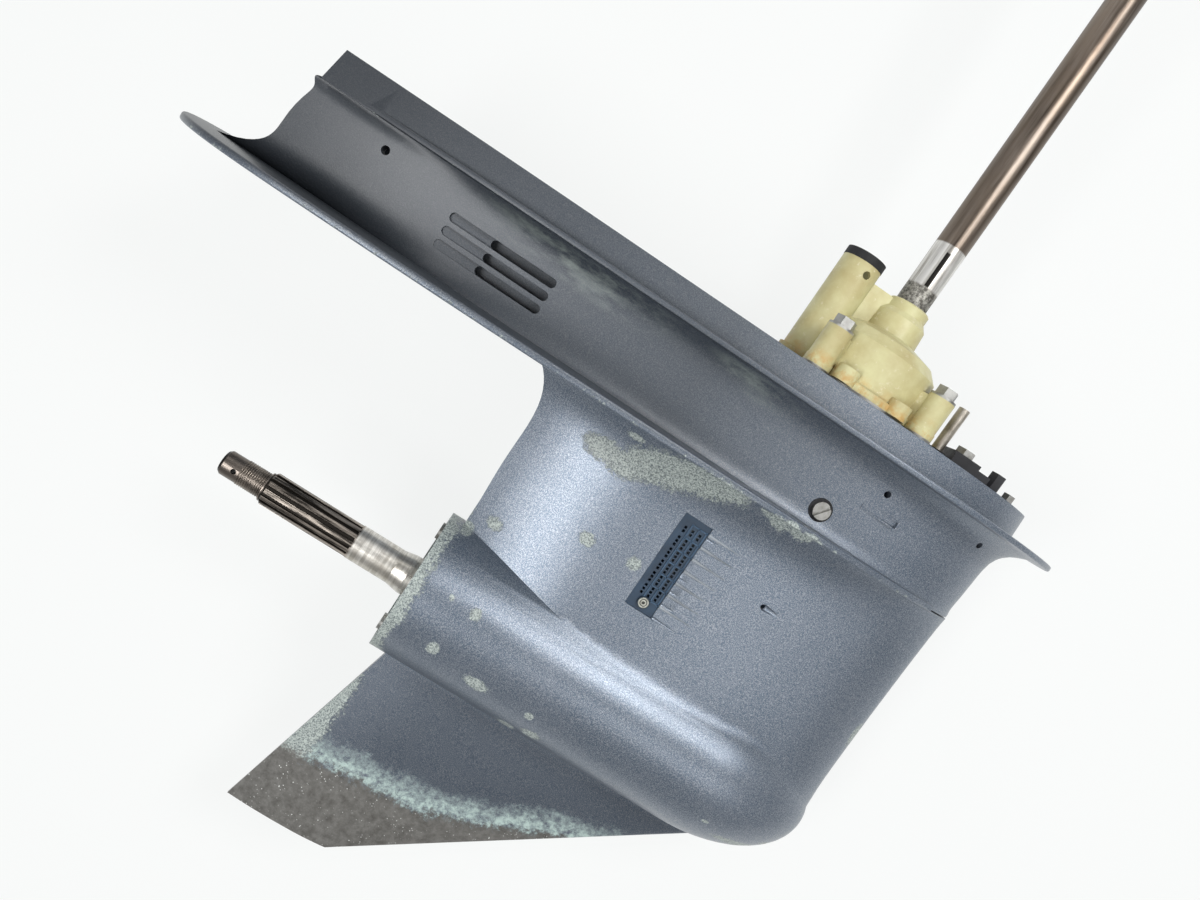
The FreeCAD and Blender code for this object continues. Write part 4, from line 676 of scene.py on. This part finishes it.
def joinedCopy(node, name):
    mesh = nodes[node].data.copy()
    mesh.name = name
    shape = bmesh.new()
    shape.from_mesh(mesh)
    bmesh.ops.remove_doubles(shape, verts=shape.verts, dist=castingSizes["join"])
    shape.to_mesh(mesh)
    shape.free()
    for extra in [item.name for item in mesh.attributes if "normal" in item.name]:
        mesh.attributes.remove(mesh.attributes[extra])
    mesh.shade_smooth()
    mesh.set_sharp_from_angle(angle=math.radians(castingSizes["sharp"]))
    piece = bpy.data.objects.new(name, mesh)
    scene.collection.objects.link(piece)
    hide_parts(node)
    return piece


casting = joinedCopy("gearcase_housing", "gearcaseCasting")
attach(casting, "gearcase")
print("casting is joined")


# Geometry Nodes make what repeats.
# Every size is a named input, set by identifier before the first evaluation.

class Maker:
    def __init__(self, name, sizes):
        self.tree = bpy.data.node_groups.new(name, "GeometryNodeTree")
        self.links = self.tree.links
        self.tree.interface.new_socket("Geometry", in_out="OUTPUT", socket_type="NodeSocketGeometry")
        kinds = {int: "NodeSocketInt", float: "NodeSocketFloat", tuple: "NodeSocketVector"}
        self.given = {}
        for label, value in sizes.items():
            socket = self.tree.interface.new_socket(label, in_out="INPUT", socket_type=kinds[type(value)])
            self.given[socket.identifier] = value
        self.inputs = self.tree.nodes.new("NodeGroupInput").outputs

    def add(self, kind, feeds, **values):
        node = self.tree.nodes.new(kind)
        for key, value in values.items():
            setattr(node, key, value)
        for socket, value in feeds.items():
            if isinstance(value, str):
                value = self.inputs[value]
            if isinstance(value, bpy.types.NodeSocket):
                self.links.new(value, node.inputs[socket])
            else:
                node.inputs[socket].default_value = value
        return node.outputs[0]

    # Rows of points on both sides of the strut carry the same shape.
    def onBothSides(self, shape):
        step = self.add("ShaderNodeCombineXYZ", {"Z": "pitch"})
        both = self.tree.nodes.new("GeometryNodeJoinGeometry")
        for side in (-1, 1):
            place = self.add("ShaderNodeVectorMath", {0: "place", 1: (1, side, 1)}, operation="MULTIPLY")
            row = self.add("GeometryNodeMeshLine",
                           {"Count": "count", "Start Location": place, "Offset": step})
            self.links.new(row, both.inputs[0])
        return self.add("GeometryNodeInstanceOnPoints", {"Points": both.outputs[0], "Instance": shape})

    def bake(self, name, last, material, body):
        real = self.add("GeometryNodeRealizeInstances", {0: last})
        coated = self.add("GeometryNodeSetMaterial", {0: real, "Material": material})
        self.links.new(coated, self.tree.nodes.new("NodeGroupOutput").inputs[0])
        base = bpy.data.objects.new(name + "Base", bpy.data.meshes.new(name + "Base"))
        scene.collection.objects.link(base)
        modifier = base.modifiers.new("build", "NODES")
        modifier.node_group = self.tree
        for identifier, value in self.given.items():
            modifier[identifier] = value
        depsgraph = bpy.context.evaluated_depsgraph_get()
        mesh = bpy.data.meshes.new_from_object(base.evaluated_get(depsgraph))
        base.modifiers.remove(modifier)
        bpy.data.objects.remove(base)
        piece = bpy.data.objects.new(name, mesh)
        mesh.name = name
        scene.collection.objects.link(piece)
        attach(piece, body)


quarterTurn = 0.5 * math.pi
threadSizes = {
    "place": (-0.3068, 0.0, -axisDrop), "radius": 0.00925, "length": 0.0184, "turns": 11.5,
    "ridge": 0.00072, "steps": 44, "corners": 4,
}


# The propeller's thread: a ridge swept along a spiral on the end of the shaft, short of the pin's hole.
def addPropellerThread():
    m = Maker("propellerThread", threadSizes)
    path = m.add("GeometryNodeCurveSpiral", {"Resolution": "steps", "Rotations": "turns", "Height": "length",
                                             "Start Radius": "radius", "End Radius": "radius"})
    ridge = m.add("GeometryNodeCurvePrimitiveCircle", {"Resolution": "corners", "Radius": "ridge"})
    swept = m.add("GeometryNodeCurveToMesh", {"Curve": path, "Profile Curve": ridge, "Fill Caps": True})
    laid = m.add("GeometryNodeTransform", {"Geometry": swept, "Rotation": (0, -quarterTurn, 0),
                                           "Translation": "place"})
    m.bake("propellerThreadRidge", laid, threadSteel, "propeller_shaft")


screenFoot = 0.08615 - axisDrop  # the lowest rib and the lowest fin
screenMiddle = 0.11645 - axisDrop
ribOut = 0.03098  # from the unit's middle to the ribs' own middle
crossRibSizes = {
    "place": (-0.03935, ribOut, screenFoot), "count": 7, "pitch": 0.0101,
    "length": 0.0127, "proud": 0.0010, "thick": 0.0009,
}
longRibSizes = {"count": 1, "pitch": 0.0, "length": 0.0622, "proud": 0.0010, "thick": 0.0008}
longRibPlaces = [(x, ribOut, screenMiddle) for x in (-0.0457, -0.0399, -0.0341)]


def addScreenRibs():
    m = Maker("screenCrossRibs", crossRibSizes)
    size = m.add("ShaderNodeCombineXYZ", {"X": "length", "Y": "proud", "Z": "thick"})
    bars = m.onBothSides(m.add("GeometryNodeMeshCube", {"Size": size}))
    m.bake("screenCrossRibs", bars, ribPlastic, "gearcase")
    for index, place in enumerate(longRibPlaces):
        m = Maker("screenLongRib", {"place": place, **longRibSizes})
        size = m.add("ShaderNodeCombineXYZ", {"X": "thick", "Y": "proud", "Z": "length"})
        bars = m.onBothSides(m.add("GeometryNodeMeshCube", {"Size": size}))
        m.bake("screenLongRib" + str(index + 1), bars, ribPlastic, "gearcase")


finSizes = {
    "place": (-0.0326, 0.0320, screenFoot), "count": 7, "pitch": 0.0101,
    "length": 0.027, "foot": 0.00115, "tip": 0.00018, "corners": 4,
}


# Fins that run forward from each screen and fade into the strut, pale grey for worn paint and a painted
# highlight on their edges.
def addIntakeFins():
    m = Maker("intakeFins", finSizes)
    spike = m.add("GeometryNodeMeshCone", {"Vertices": "corners", "Depth": "length",
                                           "Radius Top": "tip", "Radius Bottom": "foot"})
    lying = m.add("GeometryNodeTransform", {"Geometry": spike, "Rotation": (0, quarterTurn, 0)})
    m.bake("intakeFins", m.onBothSides(lying), finWearAndHighlightPaint, "gearcase")


addPropellerThread()
addScreenRibs()
addIntakeFins()
print("repeated details are made")
